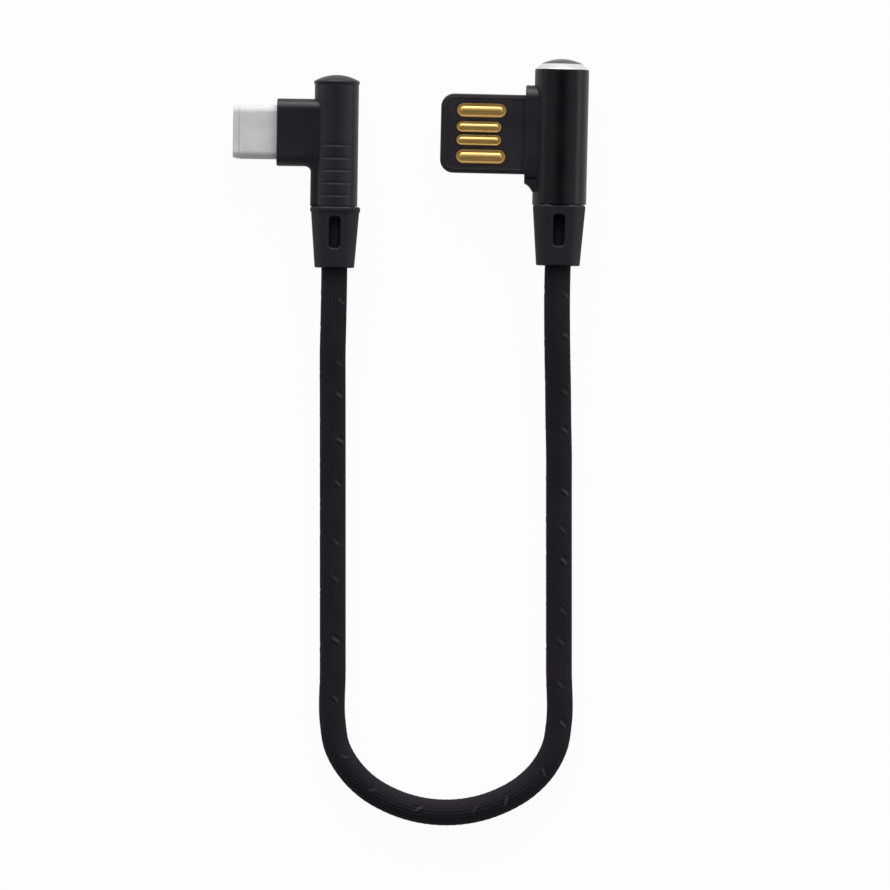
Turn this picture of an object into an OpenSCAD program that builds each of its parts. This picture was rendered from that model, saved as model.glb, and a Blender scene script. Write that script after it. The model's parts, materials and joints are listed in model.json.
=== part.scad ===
// Short charging cable: a woven cord with a right-angle plug at each end.
// Lengths are in millimetres. The cable lies on a table at z = 0, and the
// middle of the two plugs is over the origin.
//
// Each plug is drawn upright in its own frame: the cord leaves it downwards
// at the origin, z runs up its barrel, the connector points to -x, and the
// side that faces up on the table is -y. lay_plug() then lays it down.

/* [Cord] */
// Diameter of the woven cord
cord_d = 4.0; // [3.4:0.1:4.4]
// Diameter of one insulated wire in the cord
wire_d = 0.9; // [0.6:0.05:1.0]
// Diameter of the bare strands of a wire
conductor_d = 0.5; // [0.3:0.05:0.5]

/* [Fits] */
// Gap between moulded pieces that are pressed or slid together
fit = 0.05; // [0.03:0.01:0.08]
// Gap round contacts and the small pieces set in plastic
snug = 0.03; // [0.02:0.01:0.04]
// Visible seam between a sleeve and the relief under it
seam = 0.1; // [0.05:0.05:0.3]

/* [Charger plug barrel] */
// Outer diameter of the slotted metal sleeve
host_sleeve_d = 8.2; // [8.0:0.1:9.0]
// Length of the sleeve
host_sleeve_len = 20.3; // [19.5:0.1:24]
// Wall of the sleeve
host_sleeve_wall = 0.5; // [0.4:0.05:0.6]
// Distance from the axis to the edge of the sleeve's slot
host_slot_edge = 2.9; // [2.8:0.05:3.1]
// Height of the bright ring on top of the sleeve
host_ring_h = 0.7; // [0.5:0.1:1.2]
// Diameter of the end cap, where the ring's bevel ends
host_cap_d = 6.2; // [5.8:0.1:7.0]
// Rise of the cap's dome
host_dome_h = 1.0; // [0.5:0.1:1.4]
// Diameter of the peg under the cap
host_peg_d = 4.6; // [3.6:0.1:5.2]
// Depth of the peg below the ring
host_peg_len = 1.2; // [0.8:0.1:1.6]

/* [Charger plug collar and tongue] */
// Height of the connector's middle over the foot of the sleeve
host_rise = 10.4; // [9.8:0.1:11]
// Height of the collar
host_collar_h = 15.0; // [13.4:0.1:15.6]
// Thickness of the collar
host_collar_t = 4.5; // [4.4:0.1:5.2]
// Distance from the barrel's axis to the collar's outer face
host_collar_reach = 5.4; // [5.0:0.1:7]
// Corner radius of the collar
host_collar_round = 2.0; // [1.0:0.1:2.1]
// Width of the tongue
host_tongue_w = 12.0; // [11.8:0.05:12.2]
// Thickness of the tongue
host_tongue_t = 1.8; // [1.6:0.05:2.0]
// Length of the tongue outside the collar
host_tongue_len = 12.8; // [11.8:0.1:13.5]
// Corner radius at the tongue's tip
host_tongue_round = 2.0; // [1.0:0.1:2.4]
// Distance from the barrel's axis to the tongue's inner end
host_tongue_root = 2.0; // [1.8:0.1:2.4]
// Chamfer round the tongue's edges
host_tongue_edge = 0.25; // [0.1:0.05:0.4]

/* [Charger plug contacts] */
// Centre distance of the two outer contacts
host_outer_pitch = 7.0; // [7.0]
// Centre distance of the two inner contacts
host_inner_pitch = 2.0; // [2.0]
// Length of an outer contact
host_outer_len = 7.5; // [7.0:0.1:8.0]
// Length of an inner contact
host_inner_len = 6.8; // [6.0:0.1:7.0]
// Width of an outer contact
host_outer_w = 2.1; // [1.5:0.05:2.2]
// Width of an inner contact
host_inner_w = 1.6; // [1.2:0.05:1.7]
// Distance from the tongue's tip to the contacts
host_contact_setback = 2.4; // [2.1:0.1:3.0]
// Height of a contact's flat rim over the tongue
host_rim_h = 0.1; // [0.05:0.05:0.15]
// Height of a contact's ridge over its rim
host_ridge_h = 0.25; // [0.15:0.05:0.3]
// Width of the flat rim round the ridge
host_rim_w = 0.25; // [0.15:0.05:0.35]

/* [Charger plug relief] */
// Length of the strain relief
host_relief_len = 9.2; // [8.5:0.1:12]
// Width of the relief under the sleeve
host_relief_top_w = 8.0; // [7.6:0.1:8.2]
// Width of the relief where the cord leaves
host_relief_end_w = 6.6; // [6.2:0.1:7.4]
// Thickness of the relief under the sleeve
host_relief_top_t = 7.4; // [7.0:0.1:8.0]
// Thickness of the relief where the cord leaves
host_relief_end_t = 6.2; // [5.8:0.1:6.8]
// Width of the flat front panel at the top
host_panel_top_w = 4.6; // [3.8:0.1:5.2]
// Width of the flat front panel at the end
host_panel_end_w = 3.7; // [3.2:0.1:4.2]

/* [Device plug barrel] */
// Outer diameter of the sleeve
device_sleeve_d = 6.7; // [6.5:0.1:7.0]
// Length of the sleeve
device_sleeve_len = 18.4; // [18.2:0.1:22]
// Wall of the sleeve
device_sleeve_wall = 0.4; // [0.3:0.05:0.45]
// Distance from the axis to the edge of the sleeve's slot
device_slot_edge = 2.7; // [2.6:0.05:2.75]
// Diameter of the end cap's rim
device_cap_d = 7.0; // [6.8:0.1:7.4]
// Height of the cap's rim
device_cap_rim = 0.6; // [0.4:0.1:1.0]
// Rise of the cap's dome
device_dome_h = 0.9; // [0.5:0.1:1.4]
// Diameter of the peg under the cap
device_peg_d = 3.8; // [3.0:0.1:4.4]
// Depth of the peg below the rim
device_peg_len = 1.0; // [0.6:0.1:1.2]
// Number of grip grooves
groove_count = 5; // [3:1:6]
// Spacing of the grip grooves
groove_pitch = 1.9; // [1.7:0.1:2.2]
// Height of the lowest groove over the sleeve's foot
groove_first = 1.6; // [1.0:0.1:2.5]
// Width of a groove
groove_w = 0.35; // [0.2:0.05:0.5]
// Depth of a groove
groove_depth = 0.15; // [0.05:0.05:0.2]
// Length of a groove across the front
groove_len = 4.8; // [3.0:0.1:5.0]

/* [Device plug block and shell] */
// Height of the connector's middle over the foot of the sleeve
device_rise = 11.1; // [11.0:0.1:12]
// Height of the block
device_block_h = 10.2; // [10.2:0.1:11.4]
// Thickness of the block
device_block_t = 4.6; // [4.2:0.1:5.2]
// Distance from the barrel's axis to the block's outer face
device_block_reach = 9.0; // [8.6:0.1:10]
// Corner radius of the block
device_block_round = 1.6; // [0.8:0.1:2.0]
// Distance from the axis to the strip under the block
device_strip_reach = 3.8; // [3.6:0.1:4.2]
// Thickness of the strip under the block
device_strip_t = 3.8; // [2.6:0.1:3.9]
// Edge radius of the strip
device_strip_round = 0.6; // [0.3:0.1:0.8]
// Fillet between the block and the strip
device_fillet = 0.9; // [0.5:0.1:1.4]
// Width of the steel shell
device_shell_w = 8.25; // [8.25]
// Thickness of the steel shell
device_shell_t = 2.4; // [2.4]
// Length of the shell outside the block
device_shell_len = 6.65; // [6.4:0.05:6.8]
// Wall of the shell
device_shell_wall = 0.3; // [0.2:0.05:0.3]
// Distance from the barrel's axis to the shell's inner end
device_shell_root = 6.4; // [6.0:0.1:7]
// Width of the lip turned in at the shell's mouth
device_lip_w = 0.25; // [0.1:0.05:0.3]
// Depth of the lip at the shell's mouth
device_lip_depth = 0.2; // [0.1:0.05:0.4]

/* [Device plug inside] */
// Width of the slot that takes the socket's tongue
device_slot_w = 6.3; // [6.2:0.05:6.4]
// Thickness of that slot
device_slot_t = 0.75; // [0.7:0.01:0.78]
// Depth of that slot from the shell's mouth
device_slot_depth = 5.9; // [5.6:0.1:6.0]
// Pitch of the contacts
device_pitch = 0.5; // [0.5]
// Width of a contact
device_contact_w = 0.25; // [0.15:0.05:0.3]
// Thickness of a contact
device_contact_t = 0.15; // [0.1:0.01:0.15]
// Distance from the shell's mouth to the contacts
device_contact_setback = 0.9; // [0.6:0.1:1.4]
// Thickness of the side latch
device_latch_t = 0.15; // [0.1:0.05:0.2]

/* [Device plug relief] */
// Length of the strain relief
device_relief_len = 9.2; // [8.0:0.1:12]
// Width of the relief's lip under the sleeve
device_relief_top_w = 7.6; // [7.4:0.1:8.2]
// Width of the relief where the cord leaves
device_relief_end_w = 6.0; // [5.8:0.1:6.8]
// Thickness of the relief's lip under the sleeve
device_relief_top_t = 7.0; // [6.8:0.1:7.4]
// Thickness of the relief where the cord leaves
device_relief_end_t = 5.8; // [5.6:0.1:6.4]
// Width of the flat front panel at the top
device_panel_top_w = 4.4; // [3.8:0.1:5.0]
// Width of the flat front panel at the end
device_panel_end_w = 3.4; // [3.0:0.1:4.0]
// How far the lip stands proud of the relief
device_lip_out = 0.1; // [0.05:0.05:0.2]
// Height of the lip
device_lip_h = 0.5; // [0.3:0.1:0.8]

/* [Relief windows] */
// Width of the window slot in each relief
window_w = 1.7; // [1.2:0.1:2.2]
// Length of the window slot
window_len = 4.7; // [3.5:0.1:5.5]
// Corner radius of the window slot
window_round = 0.5; // [0.2:0.05:0.55]
// Height of the window's middle over the cord's exit
window_mid = 5.3; // [4.5:0.1:5.5]

/* [Circuit boards] */
// Thickness of the charger plug's board
host_board_t = 1.0; // [0.8:0.05:1.1]
// Length of the charger plug's board above the connector's middle
host_board_up = 5.7; // [4.4:0.1:6.0]
// Length of the charger plug's board below the connector's middle
host_board_down = 6.3; // [6.2:0.1:6.6]
// Distance from the barrel's axis to the board's far edge
host_board_reach = 1.9; // [1.7:0.1:2.1]
// Thickness of the device plug's board
device_board_t = 0.8; // [0.8]
// Half length of the device plug's board
device_board_half = 3.9; // [3.7:0.1:4.1]
// Distance from the barrel's axis to the device board's far edge
device_board_reach = 1.6; // [1.6:0.05:1.8]
// Length of the cord's end above each relief
cord_tail = 1.5; // [1.0:0.1:1.8]
// Half spacing of the wires, side by side
wire_offset = 0.8; // [0.78:0.01:0.85]
// Length of wire insulation that lies on the board
wire_lap = 0.5; // [0.3:0.1:0.7]
// Length of the bare strands
bare_len = 1.2; // [1.0:0.05:1.3]
// Radius of the solder on a wire
joint_r = 0.75; // [0.74:0.01:0.77]
// Width of a contact's tail
tail_w = 0.5; // [0.3:0.05:0.6]
// Thickness of a contact's tail
tail_t = 0.2; // [0.15:0.05:0.25]
// Length of a contact's tail on the board
tail_lap = 0.9; // [0.7:0.05:1.0]
// Radius of the solder on a tail
tail_joint_r = 0.35; // [0.3:0.05:0.4]
// Radius of the solder heel at a device contact's end
heel_r = 0.22; // [0.16:0.01:0.24]
// Length of the chip resistor
resistor_len = 1.0; // [0.6:0.1:1.6]
// Width of the chip resistor
resistor_w = 0.5; // [0.3:0.1:0.8]
// Height of the chip resistor
resistor_h = 0.35; // [0.2:0.05:0.45]
// Distance from the barrel's axis to the resistor
resistor_out = 3.2; // [2.8:0.1:3.6]
// Height of the resistor over the connector's middle
resistor_up = 1.0; // [-2:0.1:2]

/* [Inner moulds and edges] */
// Thickness of the charger plug's inner mould
host_fill_t = 3.6; // [3.4:0.1:4.2]
// Thickness of the device plug's inner mould
device_fill_t = 3.0; // [2.8:0.1:3.4]
// Cover of an inner mould over the edges of its board
fill_cover = 0.45; // [0.3:0.05:0.6]
// Chamfer on the outer edges of sleeves, collar and block
edge = 0.15; // [0.05:0.05:0.25]

/* [Side latch] */
// Width of each sprung arm
latch_arm_w = 0.3; // [0.2:0.05:0.4]
// How far each hook stands into the slot's side
latch_hook = 0.25; // [0.1:0.05:0.3]
// Length of each hook
latch_hook_len = 0.4; // [0.2:0.1:0.8]
// Length of the plate that joins the arms
latch_base_len = 0.8; // [0.5:0.1:1.0]
// Distance from the shell's mouth to the hooks
latch_setback = 2.1; // [1.6:0.1:3.0]

/* [Hidden] */
$fn = 48;
// Overshoot of a cut past the face that it opens
over = 1;

// Each plug lies on the widest of its round pieces
host_axis_z = max(host_sleeve_d, host_relief_top_t) / 2;
device_axis_z = max(device_cap_d, device_relief_top_t, device_sleeve_d) / 2;
lie = cord_d / 2;

// The cord's route, from the charger plug to the device plug
route = [
    [22.0, -15.6, host_axis_z], [21.9, -20, host_axis_z],
    [21.9, -24.5, 4.0], [21.95, -29, 3.7], [22.05, -34, 3.2],
    [22.1, -39, 2.7], [22.2, -44, 2.3], [22.2, -50, lie],
    [22.2, -59, lie], [22.2, -68, lie], [22.2, -77, lie],
    [22.2, -84.9, lie], [21.6, -88.4, lie], [19.9, -91.7, lie],
    [17.2, -94.5, lie], [13.7, -96.6, lie], [9.6, -98, lie],
    [5.1, -98.5, lie], [0.6, -98, lie], [-3.5, -96.6, lie],
    [-7, -94.5, lie], [-9.7, -91.7, lie], [-11.5, -88.4, lie],
    [-12.1, -84.9, lie], [-12.1, -77, lie], [-12.1, -68, lie],
    [-12.1, -59, lie], [-12.1, -50, lie], [-12.1, -44, 2.2],
    [-12.1, -39, 2.5], [-12.1, -34, 2.9], [-12.1, -29, 3.3],
    [-12.0, -24.5, 3.5], [-11.92, -20.7, device_axis_z],
    [-11.85, -15.9, device_axis_z]
];
cord_sides = 12;

// Heights in the charger plug's frame
host_foot = host_relief_len + seam;
host_top = host_foot + host_sleeve_len;
host_mid = host_foot + host_rise;
host_cord_stop = host_relief_len + cord_tail;
host_board_foot = host_mid - host_board_down;
host_board_top = host_mid + host_board_up;
host_wire_stop = host_board_foot + wire_lap;
host_core_r = host_sleeve_d / 2 - host_sleeve_wall - fit;
host_tip = host_collar_reach + host_tongue_len;
host_web_edge = host_slot_edge + fit;
host_outer = [host_outer_len, host_outer_w];
host_inner = [host_inner_len, host_inner_w];
host_rows = [
    [host_outer_pitch / 2, host_outer], [host_inner_pitch / 2, host_inner],
    [-host_inner_pitch / 2, host_inner], [-host_outer_pitch / 2, host_outer]
];

// Heights in the device plug's frame
device_foot = device_relief_len + seam;
device_top = device_foot + device_sleeve_len;
device_mid = device_foot + device_rise;
device_cord_stop = device_relief_len + cord_tail;
device_board_foot = device_mid - device_board_half;
device_wire_stop = device_board_foot + wire_lap;
device_core_r = device_sleeve_d / 2 - device_sleeve_wall - fit;
device_tip = device_block_reach + device_shell_len;
device_web_edge = device_slot_edge + fit;
device_bore_w = device_shell_w - 2 * device_shell_wall;
device_bore_t = device_shell_t - 2 * device_shell_wall;

// Contact places of a charge and data plug, counted from 1 to 12
device_front_places = [1, 4, 5, 6, 7, 9, 12];
device_back_places = [1, 4, 9, 12];
device_place_count = 12;

// Inner moulds, past the boards that they hold
host_fill_reach = host_board_reach + fill_cover;
device_fill_reach = device_board_reach + fill_cover;

// Gaps in the device plug's insulator, round the latch
latch_side_gap = 0.1;
latch_back_gap = 0.3;

// Sprung bump on each device contact
bump_r = 0.25;
bump_setback = 1.6;

// ---------- shared shapes ----------

// Rectangle of w by h with corners of radius r, about the origin
module rounded_rect(w, h, r) {
    square([w - 2 * r, h], center = true);
    square([w, h - 2 * r], center = true);
    for (sx = [-1, 1], sy = [-1, 1])
        translate([sx * (w / 2 - r), sy * (h / 2 - r)]) circle(r);
}

// Slot outline of a length and a width, with round ends, along x
module stadium(len, w) {
    square([len - w, w], center = true);
    for (s = [-1, 1]) translate([s * (len - w) / 2, 0]) circle(d = w);
}

// Bar along x between two stations, h high in z and t thick in y
module bar_x(x0, x1, h, t, r) {
    translate([x0, 0, 0]) rotate([90, 0, 90])
        linear_extrude(x1 - x0) rounded_rect(t, h, r);
}

// The same bar with its edges at x0 chamfered by c
module nosed_bar_x(x0, x1, h, t, r, c) {
    intersection() {
        bar_x(x0, x1, h, t, r);
        sheet_y(-t, t) nose_outline(x0, x1, h, c);
        rotate([90, 0, 0]) sheet_y(-h, h) nose_outline(x0, x1, t, c);
    }
}

// Outline along x, w wide, with its two corners at x0 cut by c
module nose_outline(x0, x1, w, c) {
    polygon([
        [x0, -w / 2 + c], [x0 + c, -w / 2], [x1, -w / 2],
        [x1, w / 2], [x0 + c, w / 2], [x0, w / 2 - c]
    ]);
}

// Plain block between x stations and z stations, t thick about y = 0
module block_xz(x0, x1, z0, z1, t) {
    translate([x0, -t / 2, z0]) cube([x1 - x0, t, z1 - z0]);
}

// The outline drawn in x and z, made thick from y0 to y1
module sheet_y(y0, y1) {
    translate([0, y1, 0]) rotate([90, 0, 0])
        linear_extrude(y1 - y0) children();
}

// Segment of a ball: base radius r, rise h, standing on z = 0
module dome(r, h) {
    ball_r = (r * r + h * h) / (2 * h);
    intersection() {
        translate([0, 0, h - ball_r]) sphere(ball_r);
        translate([-r - over, -r - over, 0])
            cube([2 * (r + over), 2 * (r + over), h + over]);
    }
}

// Half space that keeps what lies left of x = -edge_x
module left_of(edge_x, reach, top) {
    translate([-reach - over, -reach, -over])
        cube([reach + over - edge_x, 2 * reach, top + 2 * over]);
}

// Open tube with chamfered ends, with a slot along its left side
module slotted_sleeve(d, len, wall, slot_edge) {
    r = d / 2;
    difference() {
        rotate_extrude() polygon([
            [r - wall, 0], [r - edge, 0], [r, edge], [r, len - edge],
            [r - edge, len], [r - wall, len]
        ]);
        left_of(slot_edge, r + over, len);
    }
}

// Tapered box between two rectangles, its corners cut round by a cone
module tapered_body(len, end_w, top_w, end_t, top_t, end_panel, top_panel) {
    intersection() {
        sheet_y(-top_t, top_t) polygon([
            [-end_w / 2, 0], [end_w / 2, 0],
            [top_w / 2, len], [-top_w / 2, len]
        ]);
        rotate([0, 0, 90]) sheet_y(-top_w, top_w) polygon([
            [-end_t / 2, 0], [end_t / 2, 0],
            [top_t / 2, len], [-top_t / 2, len]
        ]);
        cylinder(
            h = len,
            r1 = norm([end_panel, end_t]) / 2,
            r2 = norm([top_panel, top_t]) / 2
        );
    }
}

// Bore and two windows that every relief has
module relief_cuts(len, t) {
    translate([0, 0, -over]) cylinder(h = len + 2 * over, d = cord_d + 2 * fit);
    translate([0, 0, window_mid]) sheet_y(-t, t)
        rounded_rect(window_w, window_len, window_round);
}

// ---------- wires, the same in both plugs ----------

// Where a wire lies: side is left or right, face is front or back
function wire_at(side, face, board_t) =
    [side * wire_offset, face * (board_t + wire_d) / 2, 0];

// Insulated part of one wire
module wire(side, face, board_t, z0, z1, grow = 0) {
    translate(wire_at(side, face, board_t) + [0, 0, z0])
        cylinder(h = z1 - z0, d = wire_d + 2 * grow);
}

// Bare strands of all four wires, from the end of their insulation
module bare_strands(board_t, z0, grow = 0) {
    for (side = [-1, 1], face = [-1, 1])
        translate(wire_at(side, face, board_t) + [0, 0, z0])
            cylinder(h = bare_len, d = conductor_d + 2 * grow);
}

// Solder domes on both faces of a board, one over each wire's end
module wire_joints(board_t, z0, grow = 0) {
    for (side = [-1, 1], face = [-1, 1])
        translate([side * wire_offset, face * board_t / 2, z0 + joint_r + fit])
            rotate([-90 * face, 0, 0]) half_ball(joint_r, grow);
}

// Half ball on a board's face, standing up along z
module half_ball(r, grow = 0) {
    intersection() {
        sphere(r + grow);
        translate([-r - over, -r - over, 0])
            cube([2 * (r + over), 2 * (r + over), r + over]);
    }
}

// ---------- charger plug ----------

module host_sleeve() {
    color("#26242a") translate([0, 0, host_foot]) slotted_sleeve(
        host_sleeve_d, host_sleeve_len, host_sleeve_wall, host_slot_edge
    );
}

module host_trim_ring() {
    color("#e8e8ea") translate([0, 0, host_top]) difference() {
        cylinder(h = host_ring_h, d1 = host_sleeve_d, d2 = host_cap_d);
        translate([0, 0, -over])
            cylinder(h = host_ring_h + 2 * over, d = host_peg_d + 2 * fit);
    }
}

module host_end_cap() {
    color("#3a393c") translate([0, 0, host_top + host_ring_h]) {
        dome(host_cap_d / 2, host_dome_h);
        translate([0, 0, -host_ring_h - host_peg_len])
            cylinder(h = host_ring_h + host_peg_len, d = host_peg_d);
    }
}

// Outline of the tongue in x and z, round at the tip only
module host_tongue_outline() {
    r = host_tongue_round;
    w = host_tongue_w;
    translate([-host_tip + r, -w / 2])
        square([host_tip - r - host_tongue_root, w]);
    translate([-host_tip, r - w / 2]) square([r, w - 2 * r]);
    for (s = [-1, 1])
        translate([-host_tip + r, s * (w / 2 - r)]) circle(r);
}

// Room that every contact takes in the tongue, on one face (+y)
module host_contact_room(grow = 0, rise = 0) {
    for (row = host_rows) translate([0, 0, row[0]]) {
        translate([-host_tip + host_contact_setback + row[1][0] / 2, 0, 0])
            sheet_y(host_board_t / 2, host_tongue_t / 2 + host_rim_h + rise)
                stadium(row[1][0] + 2 * grow, row[1][1] + 2 * grow);
        host_tail(grow);
    }
}

// Tail of one contact, from under its pad to the board
module host_tail(grow = 0) {
    x0 = -host_tip + host_contact_setback + host_inner_len / 2;
    translate([x0, host_board_t / 2, -tail_w / 2 - grow])
        cube([-host_tongue_root + tail_lap - x0, tail_t + grow, tail_w + 2 * grow]);
}

// Round-topped ridge of one contact, on the rim's face
module host_ridge(len, w) {
    ridge_w = w - 2 * host_rim_w;
    run = len - w;
    ball_r = (ridge_w * ridge_w / 4 + host_ridge_h * host_ridge_h)
        / (2 * host_ridge_h);
    face_y = host_tongue_t / 2 + host_rim_h;
    intersection() {
        translate([-run / 2, face_y + host_ridge_h - ball_r, 0]) {
            rotate([0, 90, 0]) cylinder(h = run, r = ball_r);
            for (s = [0, 1]) translate([s * run, 0, 0]) sphere(ball_r);
        }
        translate([-len / 2, face_y, -w / 2]) cube([len, w, w]);
    }
}

// The four contacts of one face (+y)
module host_contacts() {
    translate([0, 0, host_mid]) {
        host_contact_room();
        for (row = host_rows)
            translate([-host_tip + host_contact_setback + row[1][0] / 2, 0, row[0]])
                host_ridge(row[1][0], row[1][1]);
    }
}

module host_contacts_front() {
    color("#c29c65") mirror([0, 1, 0]) host_contacts();
}

module host_contacts_back() {
    color("#c29c65") host_contacts();
}

// Tongue without its pockets: the flat outline with chamfered edges
module host_tongue_blank() {
    c = host_tongue_edge;
    w = host_tongue_w;
    t = host_tongue_t;
    intersection() {
        sheet_y(-t / 2, t / 2) host_tongue_outline();
        rotate([90, 0, 0]) sheet_y(-w, w)
            nose_outline(-host_tip, -host_tongue_root, t, c);
        translate([-host_tip - over, 0, 0]) rotate([90, 0, 90])
            linear_extrude(host_tip + over) polygon([
                [-t / 2, c - w / 2], [c - t / 2, -w / 2],
                [t / 2 - c, -w / 2], [t / 2, c - w / 2],
                [t / 2, w / 2 - c], [t / 2 - c, w / 2],
                [c - t / 2, w / 2], [-t / 2, w / 2 - c]
            ]);
    }
}

module host_tongue() {
    color("#27242b") translate([0, 0, host_mid]) difference() {
        host_tongue_blank();
        for (s = [0, 1]) mirror([0, s, 0]) host_contact_room(snug, over);
    }
}

module host_board_shape(grow = 0) {
    block_xz(
        -host_tongue_root + fit - grow, host_board_reach + grow,
        host_board_foot - grow, host_board_top + grow,
        host_board_t + 2 * grow
    );
}

module host_circuit_board() {
    color("#1f5a3a") host_board_shape();
}

module host_wire(side, face) {
    wire(side, face, host_board_t, host_cord_stop, host_wire_stop);
}

module host_wire_power() {
    color("#b3202a") host_wire(1, -1);
}

module host_wire_ground() {
    color("#1a1a1c") host_wire(-1, -1);
}

module host_wire_data_minus() {
    color("#e6e6e2") host_wire(1, 1);
}

module host_wire_data_plus() {
    color("#2c8a4a") host_wire(-1, 1);
}

module host_conductors() {
    color("#b87346") bare_strands(host_board_t, host_wire_stop);
}

// Solder on the tails of the contacts, both faces
module host_tail_joints(grow = 0) {
    for (row = host_rows, face = [-1, 1])
        translate([
            -host_tongue_root + tail_lap - tail_joint_r,
            face * host_board_t / 2, host_mid + row[0]
        ])
            rotate([-90 * face, 0, 0]) half_ball(tail_joint_r, grow);
}

// Both faces' contact tails, as room for them
module host_tail_room(grow) {
    for (row = host_rows, s = [0, 1])
        translate([0, 0, host_mid + row[0]]) mirror([0, s, 0]) host_tail(grow);
}

module host_solder() {
    color("#b9bbbf") difference() {
        union() {
            wire_joints(host_board_t, host_wire_stop);
            host_tail_joints();
        }
        bare_strands(host_board_t, host_wire_stop, snug);
        host_tail_room(snug);
    }
}

// Block of the inner mould, without what is set in it
module host_fill(grow = 0) {
    block_xz(
        -host_tongue_root, host_fill_reach + grow,
        host_cord_stop, host_board_top + fill_cover + grow,
        host_fill_t + 2 * grow
    );
}

module host_inner_mould() {
    color("#d8d6cf") difference() {
        host_fill();
        host_board_shape(snug);
        for (side = [-1, 1], face = [-1, 1])
            wire(side, face, host_board_t, host_cord_stop - over,
                host_wire_stop + snug, snug);
        bare_strands(host_board_t, host_wire_stop, snug);
        wire_joints(host_board_t, host_wire_stop, snug);
        host_tail_joints(snug);
        host_tail_room(snug);
    }
}

module host_overmould() {
    color("#2a272c") difference() {
        union() {
            translate([0, 0, host_relief_len])
                cylinder(h = host_top - host_relief_len, r = host_core_r);
            intersection() {
                translate([0, 0, host_relief_len])
                    cylinder(h = host_top - host_relief_len, d = host_sleeve_d);
                left_of(host_web_edge, host_sleeve_d, host_top);
            }
            translate([0, 0, host_mid]) nosed_bar_x(
                -host_collar_reach, -host_web_edge,
                host_collar_h, host_collar_t, host_collar_round, edge
            );
        }
        translate([0, 0, host_mid]) block_xz(
            -host_collar_reach - over, -host_tongue_root,
            -host_tongue_w / 2 - fit, host_tongue_w / 2 + fit,
            host_tongue_t + 2 * fit
        );
        host_fill(fit);
        cylinder(h = host_cord_stop, d = cord_d + 2 * fit);
        translate([0, 0, host_top - host_peg_len - fit])
            cylinder(h = host_peg_len + over, d = host_peg_d + 2 * fit);
    }
}

module host_strain_relief() {
    color("#2c292d") difference() {
        tapered_body(
            host_relief_len, host_relief_end_w, host_relief_top_w,
            host_relief_end_t, host_relief_top_t,
            host_panel_end_w, host_panel_top_w
        );
        relief_cuts(host_relief_len, host_relief_top_t);
    }
}

module host_cord_end() {
    color("#1d1a1f") cylinder(h = host_cord_stop, d = cord_d);
}

// ---------- device plug ----------

module device_shell() {
    color("#bab7ba") translate([0, 0, device_mid]) difference() {
        bar_x(-device_tip, -device_shell_root, device_shell_w, device_shell_t,
            device_shell_t / 2 - snug);
        bar_x(-device_tip + device_lip_depth, -device_shell_root + over,
            device_bore_w, device_bore_t, device_bore_t / 2 - snug);
        bar_x(-device_tip - over, -device_shell_root,
            device_bore_w - 2 * device_lip_w, device_bore_t - 2 * device_lip_w,
            device_bore_t / 2 - device_lip_w - snug);
    }
}

// Height of a contact place from the middle of its row
function place_z(place) = (place - (device_place_count + 1) / 2) * device_pitch;

// Straight run of one device contact on the +y side
module device_contact_run(grow = 0) {
    translate([
        -device_tip + device_contact_setback - grow,
        device_board_t / 2, -device_contact_w / 2 - grow
    ])
        cube([
            device_tip - device_contact_setback - device_shell_root
                + tail_lap + grow,
            device_contact_t + grow, device_contact_w + 2 * grow
        ]);
}

// One row of device contacts on the +y side, each with its bump
module device_contact_row(places) {
    for (place = places) translate([0, 0, device_mid + place_z(place)]) {
        device_contact_run();
        translate([
            -device_tip + device_contact_setback + bump_setback,
            device_board_t / 2 + device_contact_t / 2, -device_contact_w / 2
        ])
            intersection() {
                cylinder(h = device_contact_w, r = bump_r);
                translate([-bump_r, -bump_r - over, 0])
                    cube([2 * bump_r, bump_r + over, device_contact_w]);
            }
    }
}

module device_contacts_front() {
    color("#c9a86a") mirror([0, 1, 0]) device_contact_row(device_front_places);
}

module device_contacts_back() {
    color("#c9a86a") device_contact_row(device_back_places);
}

// Outline of the latch in x and z: a base and two hooked arms
module device_latch_outline(grow = 0) {
    arm_z = device_slot_w / 2 + latch_side_gap;
    back_x = -device_tip + device_slot_depth + latch_back_gap + latch_base_len;
    for (s = [0, 1]) mirror([0, s]) {
        translate([-device_tip + latch_setback - grow, arm_z - grow])
            square([
                back_x + device_tip - latch_setback + 2 * grow,
                latch_arm_w + 2 * grow
            ]);
        translate([
            -device_tip + latch_setback - grow,
            arm_z - latch_hook - grow
        ])
            square([latch_hook_len + 2 * grow, latch_hook + 2 * grow]);
    }
    translate([back_x - latch_base_len - grow, -arm_z - grow])
        square([latch_base_len + 2 * grow, 2 * (arm_z + grow)]);
}

module device_latch() {
    color("#a9a7a4") translate([0, 0, device_mid])
        sheet_y(-device_latch_t / 2, device_latch_t / 2) device_latch_outline();
}

module device_insulator() {
    color("#1c1b1d") difference() {
        translate([0, 0, device_mid]) difference() {
            bar_x(-device_tip + device_lip_depth + snug, -device_shell_root,
                device_bore_w - 2 * snug, device_bore_t - 2 * snug,
                device_bore_t / 2 - 2 * snug);
            block_xz(-device_tip - over, -device_tip + device_slot_depth,
                -device_slot_w / 2, device_slot_w / 2, device_slot_t);
            sheet_y(-device_latch_t / 2 - snug, device_latch_t / 2 + snug)
                device_latch_outline(snug);
        }
        for (place = device_back_places)
            translate([0, 0, device_mid + place_z(place)]) device_contact_channel();
        for (place = device_front_places)
            translate([0, 0, device_mid + place_z(place)])
                mirror([0, 1, 0]) device_contact_channel();
    }
}

// Channel for one contact, open to the slot along its sprung length
module device_contact_channel() {
    device_contact_run(snug);
    translate([
        -device_tip + device_contact_setback - snug, 0,
        -device_contact_w / 2 - snug
    ])
        cube([
            device_slot_depth - device_contact_setback + snug,
            device_board_t / 2 + device_contact_t / 2, device_contact_w + 2 * snug
        ]);
}

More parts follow.
